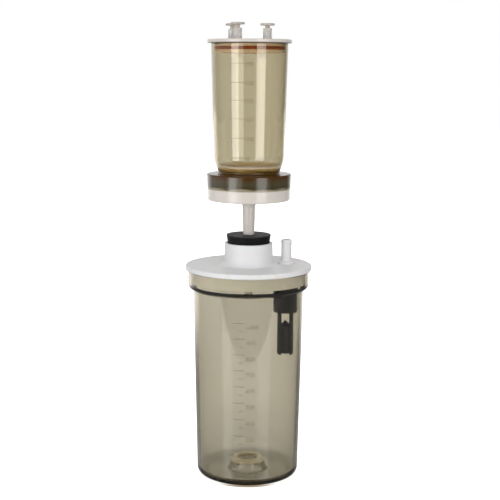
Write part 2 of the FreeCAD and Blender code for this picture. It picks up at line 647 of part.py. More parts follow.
def make_stopper(doc):
    """Tapered rubber stopper with a tapered hole for the stem."""
    body = make_body(doc, "stopper")
    top = "Sizes.stem_length - Sizes.stem_show"
    foot = top + " - Sizes.stopper_height"
    corners = [
        ("hole_foot", stem_radius_at(foot) + " + Sizes.fit_gap", "0"),
        ("foot", "Sizes.stopper_top_r - Sizes.stopper_draft", "0"),
        ("top", "Sizes.stopper_top_r", "Sizes.stopper_height"),
        ("hole_top", stem_radius_at(top) + " + Sizes.fit_gap", "Sizes.stopper_height"),
    ]
    profile = turn(body, "Plug", corners)
    round_corners(body, profile, corners, ["foot", "top"], "Sizes.edge_round")
    rise = "(Sizes.collar_height + Sizes.stopper_proud - Sizes.stopper_height)"
    place(body, LID_TOP_Z + " + " + rise + " * 1 mm")
    return body


def make_funnel_base(doc):
    """Base with a long tapered stem, a cup for the filter stack, drain ribs and a bayonet track."""
    body = make_body(doc, "funnel_base")
    under = "Sizes.stem_length"
    shoulder = under + " + Sizes.base_height"
    rim_top = shoulder + " + Sizes.rim_height"
    seat = under + " + Sizes.seat_height"
    track_low = seat + " + " + STACK + " - Sizes.slip_gap"
    track_high = seat + " + " + STACK + " + Sizes.lug_height + Sizes.slip_gap"
    track_r = CUP_R + " + Sizes.lug_reach + Sizes.fit_gap"
    pocket_r = "Sizes.screen_r + Sizes.slip_gap"
    pocket_top = seat + " + Sizes.pocket_depth"
    drain = under + " + Sizes.drain_floor"
    corners = [
        ("tip_in", STEM_TIP_R + " - Sizes.stem_wall", "0"),
        ("tip_out", STEM_TIP_R, "0"),
        ("stem_root", "Sizes.stem_root_r", under),
        ("skirt_foot", "Sizes.base_r", under),
        ("shoulder", "Sizes.base_r", shoulder),
        ("rim_foot", RIM_R, shoulder),
        ("rim_out", RIM_R, rim_top),
        ("rim_in", CUP_R, rim_top),
        ("lip_under", CUP_R, track_high),
        ("track_top", track_r, track_high),
        ("track_foot", track_r, track_low),
        ("cup_low", CUP_R, track_low),
        ("cup_floor", CUP_R, pocket_top),
        ("pocket_top", pocket_r, pocket_top),
        ("pocket_foot", pocket_r, seat),
        ("seat_in", SEAL_RING_R, seat),
        ("drain_out", SEAL_RING_R + " - Sizes.drain_fall", drain + " + Sizes.drain_fall"),
        ("drain_in", DRAIN_R, drain),
    ]
    profile = turn(body, "Cup", corners)
    round_corners(body, profile, corners, ["stem_root"], "Sizes.stem_flare")
    round_corners(body, profile, corners, ["skirt_foot"], "Sizes.base_corner")
    round_corners(body, profile, corners, ["shoulder", "tip_out"], "Sizes.base_round")
    rib_side = "Sizes.rib_width / 2"
    rib_in = DRAIN_R + " + Sizes.rib_width"
    rib_out = SEAL_RING_R + " + Sizes.fit_gap"
    rib = make_sketch(body, "RibSketch", "XY_Plane", seat)
    draw_outline(rib, [
        ("in_low", rib_in, "-" + rib_side),
        ("out_low", rib_out, "-" + rib_side),
        ("out_high", rib_out, rib_side),
        ("in_high", rib_in, rib_side),
    ])
    ribs = extrude(body, "Rib", rib, "Sizes.seat_height - Sizes.drain_floor", reverse=True)
    repeat(body, ribs, "Ribs", "Sizes.rib_count")
    entry_in = CUP_R + " - Sizes.lug_reach"
    entry_top = rim_top + " + Sizes.rim_height"
    entry = turn(body, "Entry", [
        ("low_in", entry_in, track_low),
        ("low_out", track_r, track_low),
        ("high_out", track_r, entry_top),
        ("high_in", entry_in, entry_top),
    ], "PartDesign::Groove", "Sizes.lug_angle + Sizes.entry_play")
    repeat(body, entry, "Entries", "Sizes.lug_count")
    place(body, "stopper.Placement.Base.z"
                " + (Sizes.stopper_height + Sizes.stem_show - Sizes.stem_length) * 1 mm")
    return body


def make_support_screen(doc):
    """Disc with rings of drilled holes that carries the membrane."""
    body = make_body(doc, "support_screen")
    outline = make_sketch(body, "DiscSketch", "XY_Plane")
    draw_circle(outline, "0", "0", "Sizes.screen_r")
    extrude(body, "Disc", outline, "Sizes.screen_thick")
    centre = make_sketch(body, "CentreSketch", "XY_Plane", "Sizes.screen_thick")
    draw_circle(centre, "0", "0", "Sizes.screen_hole_r")
    extrude(body, "Centre", centre, "Sizes.screen_thick", "PartDesign::Pocket")
    outer_ring = "(" + SEAL_RING_R + " - Sizes.screen_margin)"
    for ring in range(1, SCREEN_RINGS + 1):
        hole = make_sketch(body, "Hole%dSketch" % ring, "XY_Plane", "Sizes.screen_thick")
        ring_r = outer_ring + " * %d / %d" % (ring, SCREEN_RINGS)
        draw_circle(hole, ring_r, "0", "Sizes.screen_hole_r")
        drilled = extrude(body, "Hole%d" % ring, hole, "Sizes.screen_thick", "PartDesign::Pocket")
        repeat(body, drilled, "Holes%d" % ring, "%d" % (6 * ring))
    place(body, SCREEN_Z)
    return body


def make_membrane_filter(doc):
    """Filter membrane lying on the screen."""
    disc = doc.addObject("Part::Cylinder", "membrane_filter")
    disc.Label = "membrane_filter"
    disc.setExpression("Radius", "Sizes.screen_r")
    disc.setExpression("Height", "Sizes.membrane_thick")
    place(disc, MEMBRANE_Z)
    return disc


def make_membrane_gasket(doc):
    """Silicone ring that the funnel presses on the membrane's edge."""
    body, _, _ = make_ring(doc, "membrane_gasket", "Sizes.screen_r", SEAL_RING_R,
                           "Sizes.seal_ring_thick")
    place(body, SEAL_RING_Z)
    return body


def make_filter_funnel(doc):
    """Clear funnel with a solid grip ring and a bayonet boss under it, in one moulding."""
    body = make_body(doc, "filter_funnel")
    skirt_foot = BASE_TOP + " + Sizes.face_gap"
    recess = skirt_foot + " + Sizes.rim_height + Sizes.face_gap"
    recess_r = RIM_R + " + Sizes.rim_gap"
    ring_edge = skirt_foot + " + Sizes.ring_height"
    ring_root = ring_edge + " + Sizes.ring_rise"
    ring_foot_r = "Sizes.base_r + Sizes.ring_overhang"
    shoulder = ring_edge + " + Sizes.shoulder_height"
    shoulder_foot_r = "Sizes.funnel_low_r - Sizes.shoulder_step"
    rim = ring_edge + " + Sizes.funnel_height"
    boss_r = CUP_R + " - Sizes.slip_gap"
    corners = [
        ("mouth", SEAL_RING_R, "0"),
        ("boss_foot", boss_r, "0"),
        ("boss_root", boss_r, recess),
        ("recess_out", recess_r, recess),
        ("skirt_in", recess_r, skirt_foot),
        ("skirt_out", ring_foot_r, skirt_foot),
        ("ring_edge", ring_foot_r + " + Sizes.ring_flare", ring_edge),
        ("ring_root", shoulder_foot_r, ring_root),
        ("shoulder", "Sizes.funnel_low_r", shoulder),
        ("rim_out", FUNNEL_MOUTH_R, rim),
        ("rim_in", FUNNEL_MOUTH_R + " - Sizes.funnel_wall", rim),
        ("shoulder_in", "Sizes.funnel_low_r - Sizes.funnel_wall", shoulder),
        ("throat", shoulder_foot_r + " - Sizes.funnel_wall", ring_root),
        ("throat_foot", SEAL_RING_R, "Sizes.mouth_land"),
    ]
    profile = turn(body, "Wall", corners)
    round_corners(body, profile, corners, ["shoulder", "shoulder_in"], "Sizes.shoulder_round")
    round_corners(body, profile, corners, ["ring_root"], "Sizes.shoulder_blend")
    round_corners(body, profile, corners, ["ring_edge"], "Sizes.ring_rise")
    round_corners(body, profile, corners, ["rim_out", "rim_in"], "Sizes.edge_round")
    lug_in = boss_r + " - Sizes.lug_reach"
    lug_out = boss_r + " + Sizes.lug_reach"
    lug = turn(body, "Lug", [
        ("foot_in", lug_in, "0"),
        ("foot_out", lug_out, "0"),
        ("top_out", lug_out, "Sizes.lug_height"),
        ("top_in", lug_in, "Sizes.lug_height"),
    ], angle="Sizes.lug_angle")
    repeat(body, lug, "Lugs", "Sizes.lug_count")
    place(body, FUNNEL_Z)
    turn_to(body, "-Sizes.lock_turn")
    return body


def port_place(index):
    """Centre of a tube as two expressions, counted clockwise from the first."""
    angle = "(Sizes.port_angle + %d * Sizes.port_step) * 1 deg" % index
    return "Sizes.port_reach * cos(%s)" % angle, "-Sizes.port_reach * sin(%s)" % angle


def make_funnel_lid(doc):
    """Lid with a hollow plug, an O-ring groove and tubes with bores right through."""
    body = make_body(doc, "funnel_lid")
    hollow_r = COVER_PLUG_R + " - Sizes.cover_plug_wall"
    disc_r = FUNNEL_MOUTH_R + " + Sizes.cover_overhang"
    groove_top = "Sizes.groove_low + " + GROOVE_HEIGHT
    disc_top = "Sizes.cover_plug + Sizes.cover_thick"
    corners = [
        ("hollow_top", "0", "Sizes.cover_plug"),
        ("hollow_edge", hollow_r, "Sizes.cover_plug"),
        ("plug_in", hollow_r, "0"),
        ("plug_out", COVER_PLUG_R, "0"),
        ("groove_low", COVER_PLUG_R, "Sizes.groove_low"),
        ("groove_low_in", GROOVE_R, "Sizes.groove_low"),
        ("groove_high_in", GROOVE_R, groove_top),
        ("groove_high", COVER_PLUG_R, groove_top),
        ("plug_root", COVER_PLUG_R, "Sizes.cover_plug"),
        ("disc_under", disc_r, "Sizes.cover_plug"),
        ("disc_edge", disc_r, disc_top),
        ("disc_top", "0", disc_top),
    ]
    profile = turn(body, "Disc", corners)
    round_corners(body, profile, corners, ["disc_under", "disc_edge"], "Sizes.cover_round")
    round_corners(body, profile, corners, ["plug_out", "plug_in"], "Sizes.edge_round")
    x, y = port_place(0)
    mid_disc = "Sizes.cover_plug + Sizes.cover_thick / 2"
    tube_length = "Sizes.port_height + Sizes.cover_thick / 2"
    spread = "(Sizes.port_count - 1) * Sizes.port_step"
    tube = make_sketch(body, "TubeSketch", "XY_Plane", mid_disc)
    draw_circle(tube, x, y, PORT_R)
    pad = extrude(body, "Tube", tube, tube_length, draft="-Sizes.port_draft")
    repeat(body, pad, "Tubes", "Sizes.port_count", spread, reverse=True)
    bore = make_sketch(body, "BoreSketch", "XY_Plane", disc_top + " + Sizes.port_height")
    draw_circle(bore, x, y, "Sizes.port_bore")
    bore_length = "Sizes.port_height + Sizes.cover_thick"
    pocket = extrude(body, "Bore", bore, bore_length, "PartDesign::Pocket")
    repeat(body, pocket, "Bores", "Sizes.port_count", spread, reverse=True)
    place(body, COVER_Z + " - Sizes.cover_plug * 1 mm")
    return body


def make_funnel_lid_o_ring(doc):
    """Silicone O-ring in the plug's groove."""
    ring = doc.addObject("Part::Torus", "funnel_lid_o_ring")
    ring.Label = "funnel_lid_o_ring"
    ring.setExpression("Radius1", GROOVE_R + " + Sizes.o_ring_r")
    ring.setExpression("Radius2", "Sizes.o_ring_r")
    mid_groove = "(Sizes.groove_low + " + GROOVE_HEIGHT + " / 2)"
    place(ring, "funnel_lid.Placement.Base.z + " + mid_groove + " * 1 mm")
    return ring


def make_port_plug(doc, name, index, pulled):
    """Push-in plug: disc, thin neck and a stem with sealing beads."""
    body = make_body(doc, name)
    bead_r = "(Sizes.port_bore - Sizes.fit_gap)"
    stem_r = bead_r + " - Sizes.bead_rise"
    neck_top = "Sizes.plug_stem + Sizes.plug_neck"
    disc_r = PORT_R + " + Sizes.plug_overhang"
    disc_top = neck_top + " + Sizes.plug_disc"
    corners = [("foot_centre", "0", "0")]
    for bead in range(PLUG_BEADS):
        foot = "Sizes.bead_length * %d" % (2 * bead)
        corners.append(("bead%d_foot" % bead, stem_r, foot))
        corners.append(("bead%d" % bead, bead_r, foot + " + Sizes.bead_length / 2"))
        corners.append(("bead%d_top" % bead, stem_r, foot + " + Sizes.bead_length"))
    corners += [
        ("neck_top", stem_r, neck_top),
        ("disc_under", disc_r, neck_top),
        ("disc_edge", disc_r, disc_top),
        ("disc_top", "0", disc_top),
    ]
    profile = turn(body, "Plug", corners)
    round_corners(body, profile, corners, ["disc_under", "disc_edge"], "Sizes.plug_round")
    x, y = port_place(index)
    tube_top = "(Sizes.cover_plug + Sizes.cover_thick + Sizes.port_height)"
    lift = tube_top + " - Sizes.plug_stem + Sizes." + pulled
    place(body, "funnel_lid.Placement.Base.z + (" + lift + ") * 1 mm", x, y)
    return body


def check(doc, pieces):
    """Stop if any object failed or any piece has no valid solid."""
    for item in doc.Objects:
        if "Invalid" in item.State or "Error" in item.State:
            raise RuntimeError("%s failed: %s" % (item.Name, item.State))
    for piece in pieces:
        if piece.Shape.isNull() or not piece.Shape.isValid() or not piece.Shape.Solids:
            raise RuntimeError("%s has no valid solid" % piece.Label)


def main():
    doc = FreeCAD.newDocument("vacuum_filtration_unit")
    make_sheet(doc)
    pieces = [
        make_receiver_bottle(doc),
        make_receiver_gasket(doc),
        make_receiver_lid(doc),
        make_vacuum_nozzle(doc),
        make_nozzle_seal(doc),
        make_valve_cap(doc),
        make_float_cage(doc),
        make_valve_seat(doc),
        make_valve_float(doc),
        make_stopper(doc),
        make_funnel_base(doc),
        make_support_screen(doc),
        make_membrane_filter(doc),
        make_membrane_gasket(doc),
        make_filter_funnel(doc),
        make_funnel_lid(doc),
        make_funnel_lid_o_ring(doc),
    ]
    for name, index, pulled in PORT_PLUGS:
        pieces.append(make_port_plug(doc, name, index, pulled))
    doc.recompute()
    check(doc, pieces)
    os.makedirs("parts", exist_ok=True)
    for piece in pieces:
        piece.Shape.exportStep("parts/%s.step" % piece.Label)


main()
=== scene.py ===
import math

import bpy
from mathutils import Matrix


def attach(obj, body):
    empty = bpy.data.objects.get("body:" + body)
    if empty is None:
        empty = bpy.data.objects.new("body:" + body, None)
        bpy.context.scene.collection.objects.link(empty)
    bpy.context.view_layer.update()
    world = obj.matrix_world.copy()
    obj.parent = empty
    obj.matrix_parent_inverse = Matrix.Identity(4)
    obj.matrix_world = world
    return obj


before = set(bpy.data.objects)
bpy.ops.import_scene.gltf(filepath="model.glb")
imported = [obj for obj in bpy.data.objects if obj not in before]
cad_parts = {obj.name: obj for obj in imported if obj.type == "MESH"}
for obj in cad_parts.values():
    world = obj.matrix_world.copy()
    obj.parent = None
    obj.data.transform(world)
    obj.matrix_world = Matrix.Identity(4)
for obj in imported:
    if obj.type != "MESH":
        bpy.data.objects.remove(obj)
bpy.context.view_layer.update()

# --- Camera -----------------------------------------------------------------------------------
# A long lens stands a little over a metre in front, above the bottle's lid and turned down
# about nine degrees, so that the lid, the stopper's top and the bottle's floor all show.
LENS_MM = 83.7
SENSOR_MM = 36.0
CAMERA_PLACE = (0.0003, -1.058, 0.3772)
CAMERA_PITCH = math.radians(8.92)
CAMERA_ROLL = math.radians(0.35)
CAMERA_TURN = (math.radians(90) - CAMERA_PITCH, -CAMERA_ROLL, 0)

bpy.ops.object.camera_add(location=CAMERA_PLACE, rotation=CAMERA_TURN)
camera = bpy.context.object
camera.name = "camera"
camera.data.lens = LENS_MM
camera.data.sensor_width = SENSOR_MM
bpy.context.scene.camera = camera
bpy.context.scene.view_settings.view_transform = "Standard"

# --- Receiver bottle --------------------------------------------------------------------------
# A jar of smoky, clear polysulfone, injection moulded in one piece. A ledge inside its wide
# mouth carries the gasket, and a punt with a dimple stiffens its floor.
BOTTLE_TINT = "#F6F6F5"
BOTTLE_TINT_DEEP = "#F3F2EF"
BOTTLE_LOSS_PER_MM = (0.088, 0.101, 0.141)
POLYSULFONE_IOR = 1.60
POLYSULFONE_GLOSS = (0.012, 0.045)
FLOW_LINE_WIDE_MM = 5.0
FLOW_LINE_LONG_MM = 90.0
FLOW_LINE_RELIEF = 0.00004
TINT_CLOUD_MM = 35
BOTTLE_FOOT_TOP = 0.006
SCUFF_MM = 1.2
SCUFF_ROUGH = 0.22
BOTTLE_FLOOR_TOP = 0.016
FLOOR_FADE = 0.003
TURNED_RING_MM = 2.6
TURNED_RING_RELIEF = 0.00008
LEDGE_ROOT = (0.1773, 0.1800)
LEDGE_ROOT_FADE = 0.0006
LEDGE_ROOT_PAINTED_SHADE = "#201B16"
PUNT_R = 0.03
PUNT_CREST = (0.0102, 0.0122)
DIMPLE_R = (0.0082, 0.0102)
CREST_PAINTED_LIGHT = "#F4EACC"
DIMPLE_PAINTED_SHADE = "#9A8F7C"
PUNT_CLEARNESS = 0.4
SMOOTH = {"interpolation_type": "SMOOTHSTEP"}
TIMES = {"operation": "MULTIPLY"}
TIMES_PLUS = {"operation": "MULTIPLY_ADD"}
COLOURS = {"data_type": "RGBA"}


def linear(colour):
    """The linear RGBA of an sRGB hex colour."""
    channels = [int(colour[i : i + 2], 16) / 255 for i in (1, 3, 5)]
    lit = [c / 12.92 if c <= 0.04045 else ((c + 0.055) / 1.055) ** 2.4 for c in channels]
    return (*lit, 1.0)


def feed(material, node, **inputs):
    """Fill a node's inputs. An input is named with _ for a space, or iN for the Nth one, and
    takes a value, a socket, or a node for that node's first output."""
    for key, value in inputs.items():
        numbered = key[0] == "i" and key[1:].isdigit()
        socket = node.inputs[int(key[1:])] if numbered else node.inputs[key.replace("_", " ")]
        if isinstance(value, bpy.types.Node):
            value = value.outputs[0]
        if isinstance(value, bpy.types.NodeSocket):
            material.node_tree.links.new(value, socket)
        else:
            socket.default_value = value


def add_node(material, kind, settings=None, **inputs):
    """A node with its settings and its inputs."""
    node = material.node_tree.nodes.new(kind)
    for key, value in (settings or {}).items():
        setattr(node, key, value)
    feed(material, node, **inputs)
    return node


def new_material(name):
    """An empty material, with the object's own coordinates and its height above the bench."""
    material = bpy.data.materials.new(name)
    material.use_nodes = True
    material.node_tree.nodes.clear()
    place = add_node(material, "ShaderNodeTexCoord").outputs["Object"]
    height = add_node(material, "ShaderNodeSeparateXYZ", Vector=place).outputs["Z"]
    return material, place, height


def off_axis(material, place):
    """How far the surface is from the unit's upright axis."""
    level = add_node(material, "ShaderNodeVectorMath", TIMES, i0=place, i1=(1, 1, 0))
    return add_node(
        material, "ShaderNodeVectorMath", {"operation": "LENGTH"}, i0=level
    ).outputs["Value"]


def clear_polysulfone(name, tint, deep_tint, loss_per_mm):
    """Clear moulded polysulfone: glossy, tinted at its skin and through its thickness, with faint
    flow lines that run up the wall. Gives the material, its place and its height."""
    material, place, height = new_material(name)
    along = (1000 / FLOW_LINE_WIDE_MM, 1000 / FLOW_LINE_WIDE_MM, 1000 / FLOW_LINE_LONG_MM)
    stretched = add_node(material, "ShaderNodeMapping", Vector=place, Scale=along)
    flow = add_node(material, "ShaderNodeTexNoise", Vector=stretched, Scale=1.0, Detail=2.0)
    cloud = add_node(
        material, "ShaderNodeTexNoise", Vector=place, Scale=1000 / TINT_CLOUD_MM, Detail=2.0
    )
    colour = add_node(
        material, "ShaderNodeMix", COLOURS, i0=cloud, i6=linear(tint), i7=linear(deep_tint)
    )
    smooth, rough = POLYSULFONE_GLOSS
    gloss = add_node(material, "ShaderNodeMapRange", Value=flow, To_Min=smooth, To_Max=rough)
    gloss.name = "gloss"
    relief = add_node(
        material, "ShaderNodeBump", Height=flow, Strength=0.35, Distance=FLOW_LINE_RELIEF
    )
    relief.name = "relief"
    plastic = add_node(
        material,
        "ShaderNodeBsdfPrincipled",
        Base_Color=colour.outputs[2],
        Roughness=gloss,
        IOR=POLYSULFONE_IOR,
        Transmission_Weight=1.0,
        Normal=relief,
    )
    plastic.name = "plastic"
    # What each colour loses over a metre is the density times what the tint takes of it. The
    # density is a little above the greatest loss, so that no colour is taken whole.
    density = max(loss_per_mm) * 1000 * 1.02
    kept = tuple(1 - loss * 1000 / density for loss in loss_per_mm) + (1.0,)
    depth = add_node(material, "ShaderNodeVolumeAbsorption", Color=kept, Density=density)
    # The lamps shine straight through the wall onto what is inside.
    lamp_light = add_node(material, "ShaderNodeBsdfTransparent", Color=(1, 1, 1, 1))
    shadow = add_node(material, "ShaderNodeLightPath").outputs["Is Shadow Ray"]
    wall = add_node(material, "ShaderNodeMixShader", Fac=shadow, i1=plastic, i2=lamp_light)
    add_node(material, "ShaderNodeOutputMaterial", Surface=wall, Volume=depth)
    return material, place, height


def dress(node, material):
    """Give a CAD node its finish, in each of its material slots."""
    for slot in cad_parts[node].material_slots:
        slot.material = material


# Polysulfone is a hard, glossy plastic with its own smoky tint. The eye sees sharp reflections,
# dark edges where the wall turns away, a scuffed foot and the tool's turned rings on the floor.
smoky, place, height = clear_polysulfone(
    "moulded_smoky_polysulfone", BOTTLE_TINT, BOTTLE_TINT_DEEP, BOTTLE_LOSS_PER_MM
)
smoky_plastic = smoky.node_tree.nodes["plastic"]
near_foot = add_node(
    smoky, "ShaderNodeMapRange", SMOOTH, Value=height,
    From_Min=0.0, From_Max=BOTTLE_FOOT_TOP, To_Min=1.0, To_Max=0.0,
)
scratches = add_node(smoky, "ShaderNodeTexNoise", Vector=place, Scale=1000 / SCUFF_MM, Detail=4.0)
scuffed = add_node(smoky, "ShaderNodeMath", TIMES, i0=near_foot, i1=scratches)
rubbed = add_node(
    smoky, "ShaderNodeMath", TIMES_PLUS,
    i0=scuffed, i1=SCUFF_ROUGH, i2=smoky.node_tree.nodes["gloss"],
)
on_floor = add_node(
    smoky, "ShaderNodeMapRange", SMOOTH, Value=height,
    From_Min=BOTTLE_FLOOR_TOP - FLOOR_FADE, From_Max=BOTTLE_FLOOR_TOP, To_Min=1.0, To_Max=0.0,
)
rings = add_node(
    smoky,
    "ShaderNodeTexWave",
    {"wave_type": "RINGS", "rings_direction": "Z"},
    Vector=place,
    Scale=2 * math.pi / (20 * TURNED_RING_MM / 1000),
    Distortion=0.6,
)
turned = add_node(smoky, "ShaderNodeMath", TIMES, i0=rings.outputs["Fac"], i1=on_floor)
turned_relief = add_node(
    smoky,
    "ShaderNodeBump",
    Height=turned,
    Strength=0.5,
    Distance=TURNED_RING_RELIEF,
    Normal=smoky.node_tree.nodes["relief"],
)

# Where the ledge grows out of the wall the plastic is thickest. The dark line there is painted
# shade, for the light that the thick corner turns away.
above_root = add_node(
    smoky, "ShaderNodeMapRange", SMOOTH, Value=height,
    From_Min=LEDGE_ROOT[0] - LEDGE_ROOT_FADE, From_Max=LEDGE_ROOT[0],
)
under_root = add_node(
    smoky, "ShaderNodeMapRange", SMOOTH, Value=height,
    From_Min=LEDGE_ROOT[1], From_Max=LEDGE_ROOT[1] + LEDGE_ROOT_FADE, To_Min=1.0, To_Max=0.0,
)
painted_shade_at_root = add_node(smoky, "ShaderNodeMath", TIMES, i0=above_root, i1=under_root)
skin_tone = smoky_plastic.inputs["Base Color"].links[0].from_socket
wall_tone = add_node(
    smoky, "ShaderNodeMix", COLOURS, i0=painted_shade_at_root, i6=skin_tone, i7=linear(LEDGE_ROOT_PAINTED_SHADE)
)

# The punt's crest is hazier than the wall. Its pale tone is painted light, and the darker dimple
# inside it is painted shade.
over_crest = add_node(
    smoky, "ShaderNodeMapRange", SMOOTH, Value=height,
    From_Min=PUNT_CREST[0], From_Max=PUNT_CREST[1],
)
out = off_axis(smoky, place)
on_punt = add_node(smoky, "ShaderNodeMath", {"operation": "LESS_THAN"}, i0=out, i1=PUNT_R)
crest_haze_and_light = add_node(smoky, "ShaderNodeMath", TIMES, i0=over_crest, i1=on_punt)
in_dimple = add_node(
    smoky, "ShaderNodeMapRange", SMOOTH, Value=out,
    From_Min=DIMPLE_R[0], From_Max=DIMPLE_R[1], To_Min=1.0, To_Max=0.0,
)
crest_painted_light_and_shade = add_node(
    smoky, "ShaderNodeMix", COLOURS, i0=in_dimple, i6=linear(CREST_PAINTED_LIGHT), i7=linear(DIMPLE_PAINTED_SHADE)
)
tone = add_node(
    smoky, "ShaderNodeMix", COLOURS, i0=crest_haze_and_light, i6=wall_tone.outputs[2], i7=crest_painted_light_and_shade.outputs[2]
)
clearness = add_node(smoky, "ShaderNodeMapRange", Value=crest_haze_and_light, To_Min=1.0, To_Max=PUNT_CLEARNESS)
feed(
    smoky,
    smoky_plastic,
    Base_Color=tone.outputs[2],
    Roughness=rubbed,
    Transmission_Weight=clearness,
    Normal=turned_relief,
)
dress("receiver_bottle", smoky)

# --- Receiver bottle's scale ------------------------------------------------------------------
# Raised graduations that the mould leaves on the front of the wall: a long line and a number for
# each 100 mL, with a short line between. They are so low that only their edges catch the light.
BOTTLE_FULL_ML = 1000
BOTTLE_MARK_STEP = 100
BOTTLE_TOP_MARK = 0.1529
BOTTLE_WALL_FOOT = 0.007
BOTTLE_INNER_R = 0.04395
BOTTLE_INNER_SLOPE = 0.02215
BOTTLE_LINE = (-0.0131, -0.0032)
BOTTLE_SHORT_LINE = (-0.0082, -0.0045)
BOTTLE_NUMBER_X = -0.0019
BOTTLE_NUMBER_DROP = 0.0012
BOTTLE_NUMBER_SIZE = 0.0056
BOTTLE_MARK_TINT = "#D9D4C6"
LINE_THICK = 0.00055
RELIEF = 0.0003
RELIEF_GAP = 0.00004
MARKS_Y = -0.075
ETCHED_GRAIN_MM = 0.3
ETCHED_GLOSS = (0.18, 0.34)
ETCHED_RELIEF = 0.00003


def add_line(left, right, height):
    """A thin strip that stands upright in front of the wall, cut across so that it can bend."""
    bpy.ops.object.select_all(action="DESELECT")
    bpy.ops.mesh.primitive_grid_add(x_subdivisions=12, y_subdivisions=1, size=1.0)
    line = bpy.context.object
    line.scale = (right - left, LINE_THICK, 1)
    line.location = ((left + right) / 2, MARKS_Y, height)
    line.rotation_euler = (math.radians(90), 0, 0)
    return line


def add_number(text, left, top, size):
    """A number that stands upright in front of the wall, as a mesh."""
    bpy.ops.object.select_all(action="DESELECT")
    bpy.ops.object.text_add(location=(left, MARKS_Y, top), rotation=(math.radians(90), 0, 0))
    number = bpy.context.object
    number.data.body = text
    number.data.size = size
    number.data.align_y = "TOP"
    number.data.resolution_u = 3
    bpy.ops.object.convert(target="MESH")
    return bpy.context.object


def raise_marks(name, marks, node, finish):
    """Join the marks, lay them on a CAD node's wall and give them their low relief."""
    bpy.ops.object.select_all(action="DESELECT")
    for mark in marks:
        mark.select_set(True)
    bpy.context.view_layer.objects.active = marks[0]
    bpy.ops.object.join()
    scale = bpy.context.object
    scale.name = name
    bpy.ops.object.transform_apply(location=True, rotation=True, scale=True)
    bpy.ops.object.mode_set(mode="EDIT")
    bpy.ops.mesh.select_all(action="SELECT")
    bpy.ops.mesh.remove_doubles(threshold=0.00001)
    bpy.ops.mesh.normals_make_consistent(inside=False)
    bpy.ops.object.mode_set(mode="OBJECT")
    laid = scale.modifiers.new("laid_on_wall", "SHRINKWRAP")
    laid.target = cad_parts[node]
    laid.wrap_method = "PROJECT"
    laid.use_project_y = True
    laid.use_positive_direction = True
    laid.use_negative_direction = False
    laid.offset = RELIEF_GAP
    bpy.ops.object.modifier_apply(modifier=laid.name)
    if sum(face.normal.y for face in scale.data.polygons) > 0:
        bpy.ops.object.mode_set(mode="EDIT")
        bpy.ops.mesh.select_all(action="SELECT")
        bpy.ops.mesh.flip_normals()
        bpy.ops.object.mode_set(mode="OBJECT")
    raised = scale.modifiers.new("raised", "SOLIDIFY")
    raised.thickness = RELIEF
    raised.offset = 1.0
    bpy.ops.object.modifier_apply(modifier=raised.name)
    scale.data.materials.clear()
    scale.data.materials.append(finish)
    return scale


def relief_polysulfone(name, tint):
    """Raised marks of the wall's own plastic, a little duller than the wall where the tool was
    etched, so that each line reads as a soft grey edge."""
    material, place, _ = new_material(name)
    smooth, rough = ETCHED_GLOSS
    etched = add_node(
        material, "ShaderNodeTexNoise", Vector=place, Scale=1000 / ETCHED_GRAIN_MM, Detail=2.0
    )
    gloss = add_node(material, "ShaderNodeMapRange", Value=etched, To_Min=smooth, To_Max=rough)
    pits = add_node(material, "ShaderNodeBump", Height=etched, Strength=0.3, Distance=ETCHED_RELIEF)
    plastic = add_node(
        material,
        "ShaderNodeBsdfPrincipled",
        Base_Color=linear(tint),
        Roughness=gloss,
        IOR=POLYSULFONE_IOR,
        Transmission_Weight=1.0,
        Normal=pits,
    )
    add_node(material, "ShaderNodeOutputMaterial", Surface=plastic)
    return material


# Each line stands lower than the last by the height that 100 mL takes up in the widening bore.
marks = []
mark_height = BOTTLE_TOP_MARK
for volume in range(BOTTLE_FULL_ML, 0, -BOTTLE_MARK_STEP):
    number_top = mark_height - BOTTLE_NUMBER_DROP
    marks.append(add_line(*BOTTLE_LINE, mark_height))
    marks.append(add_number(str(volume), BOTTLE_NUMBER_X, number_top, BOTTLE_NUMBER_SIZE))
    inner = BOTTLE_INNER_R + BOTTLE_INNER_SLOPE * (mark_height - BOTTLE_WALL_FOOT)
    step = BOTTLE_MARK_STEP * 1e-6 / (math.pi * inner**2)
    marks.append(add_line(*BOTTLE_SHORT_LINE, mark_height - step / 2))
    mark_height -= step
etched_smoky = relief_polysulfone("etched_smoky_polysulfone", BOTTLE_MARK_TINT)
bottle_scale = raise_marks("bottle_graduations", marks, "receiver_bottle", etched_smoky)
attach(bottle_scale, "bottle")

# --- Receiver gasket --------------------------------------------------------------------------
# A flat ring of black rubber, cut from sheet, that lies on the bottle's inner ledge under the
# lid's plug.
RUBBER_BLACK = "#1B191B"
RUBBER_DUSTY = "#2A272A"


def moulded(name, colour, deep_colour, smooth, rough, grain_mm, relief_mm, cloud_mm):
    """An opaque moulding: clouded between two colours, with a fine grain that breaks its gloss.
    Gives the material, its place and its height."""
    material, place, height = new_material(name)
    cloud = add_node(
        material, "ShaderNodeTexNoise", Vector=place, Scale=1000 / cloud_mm, Detail=3.0
    )
    grain = add_node(
        material, "ShaderNodeTexNoise", Vector=place, Scale=1000 / grain_mm, Detail=2.0
    )
    tone = add_node(
        material, "ShaderNodeMix", COLOURS, i0=cloud, i6=linear(colour), i7=linear(deep_colour)
    )
    gloss = add_node(
        material, "ShaderNodeMapRange", Value=grain,
        From_Min=0.3, From_Max=0.7, To_Min=smooth, To_Max=rough,
    )
    relief = add_node(
        material, "ShaderNodeBump", Height=grain, Strength=0.6, Distance=relief_mm / 1000
    )
    plastic = add_node(
        material,
        "ShaderNodeBsdfPrincipled",
        Base_Color=tone.outputs[2],
        Roughness=gloss,
        Normal=relief,
    )
    plastic.name = "plastic"
    add_node(material, "ShaderNodeOutputMaterial", Surface=plastic)
    return material, place, height


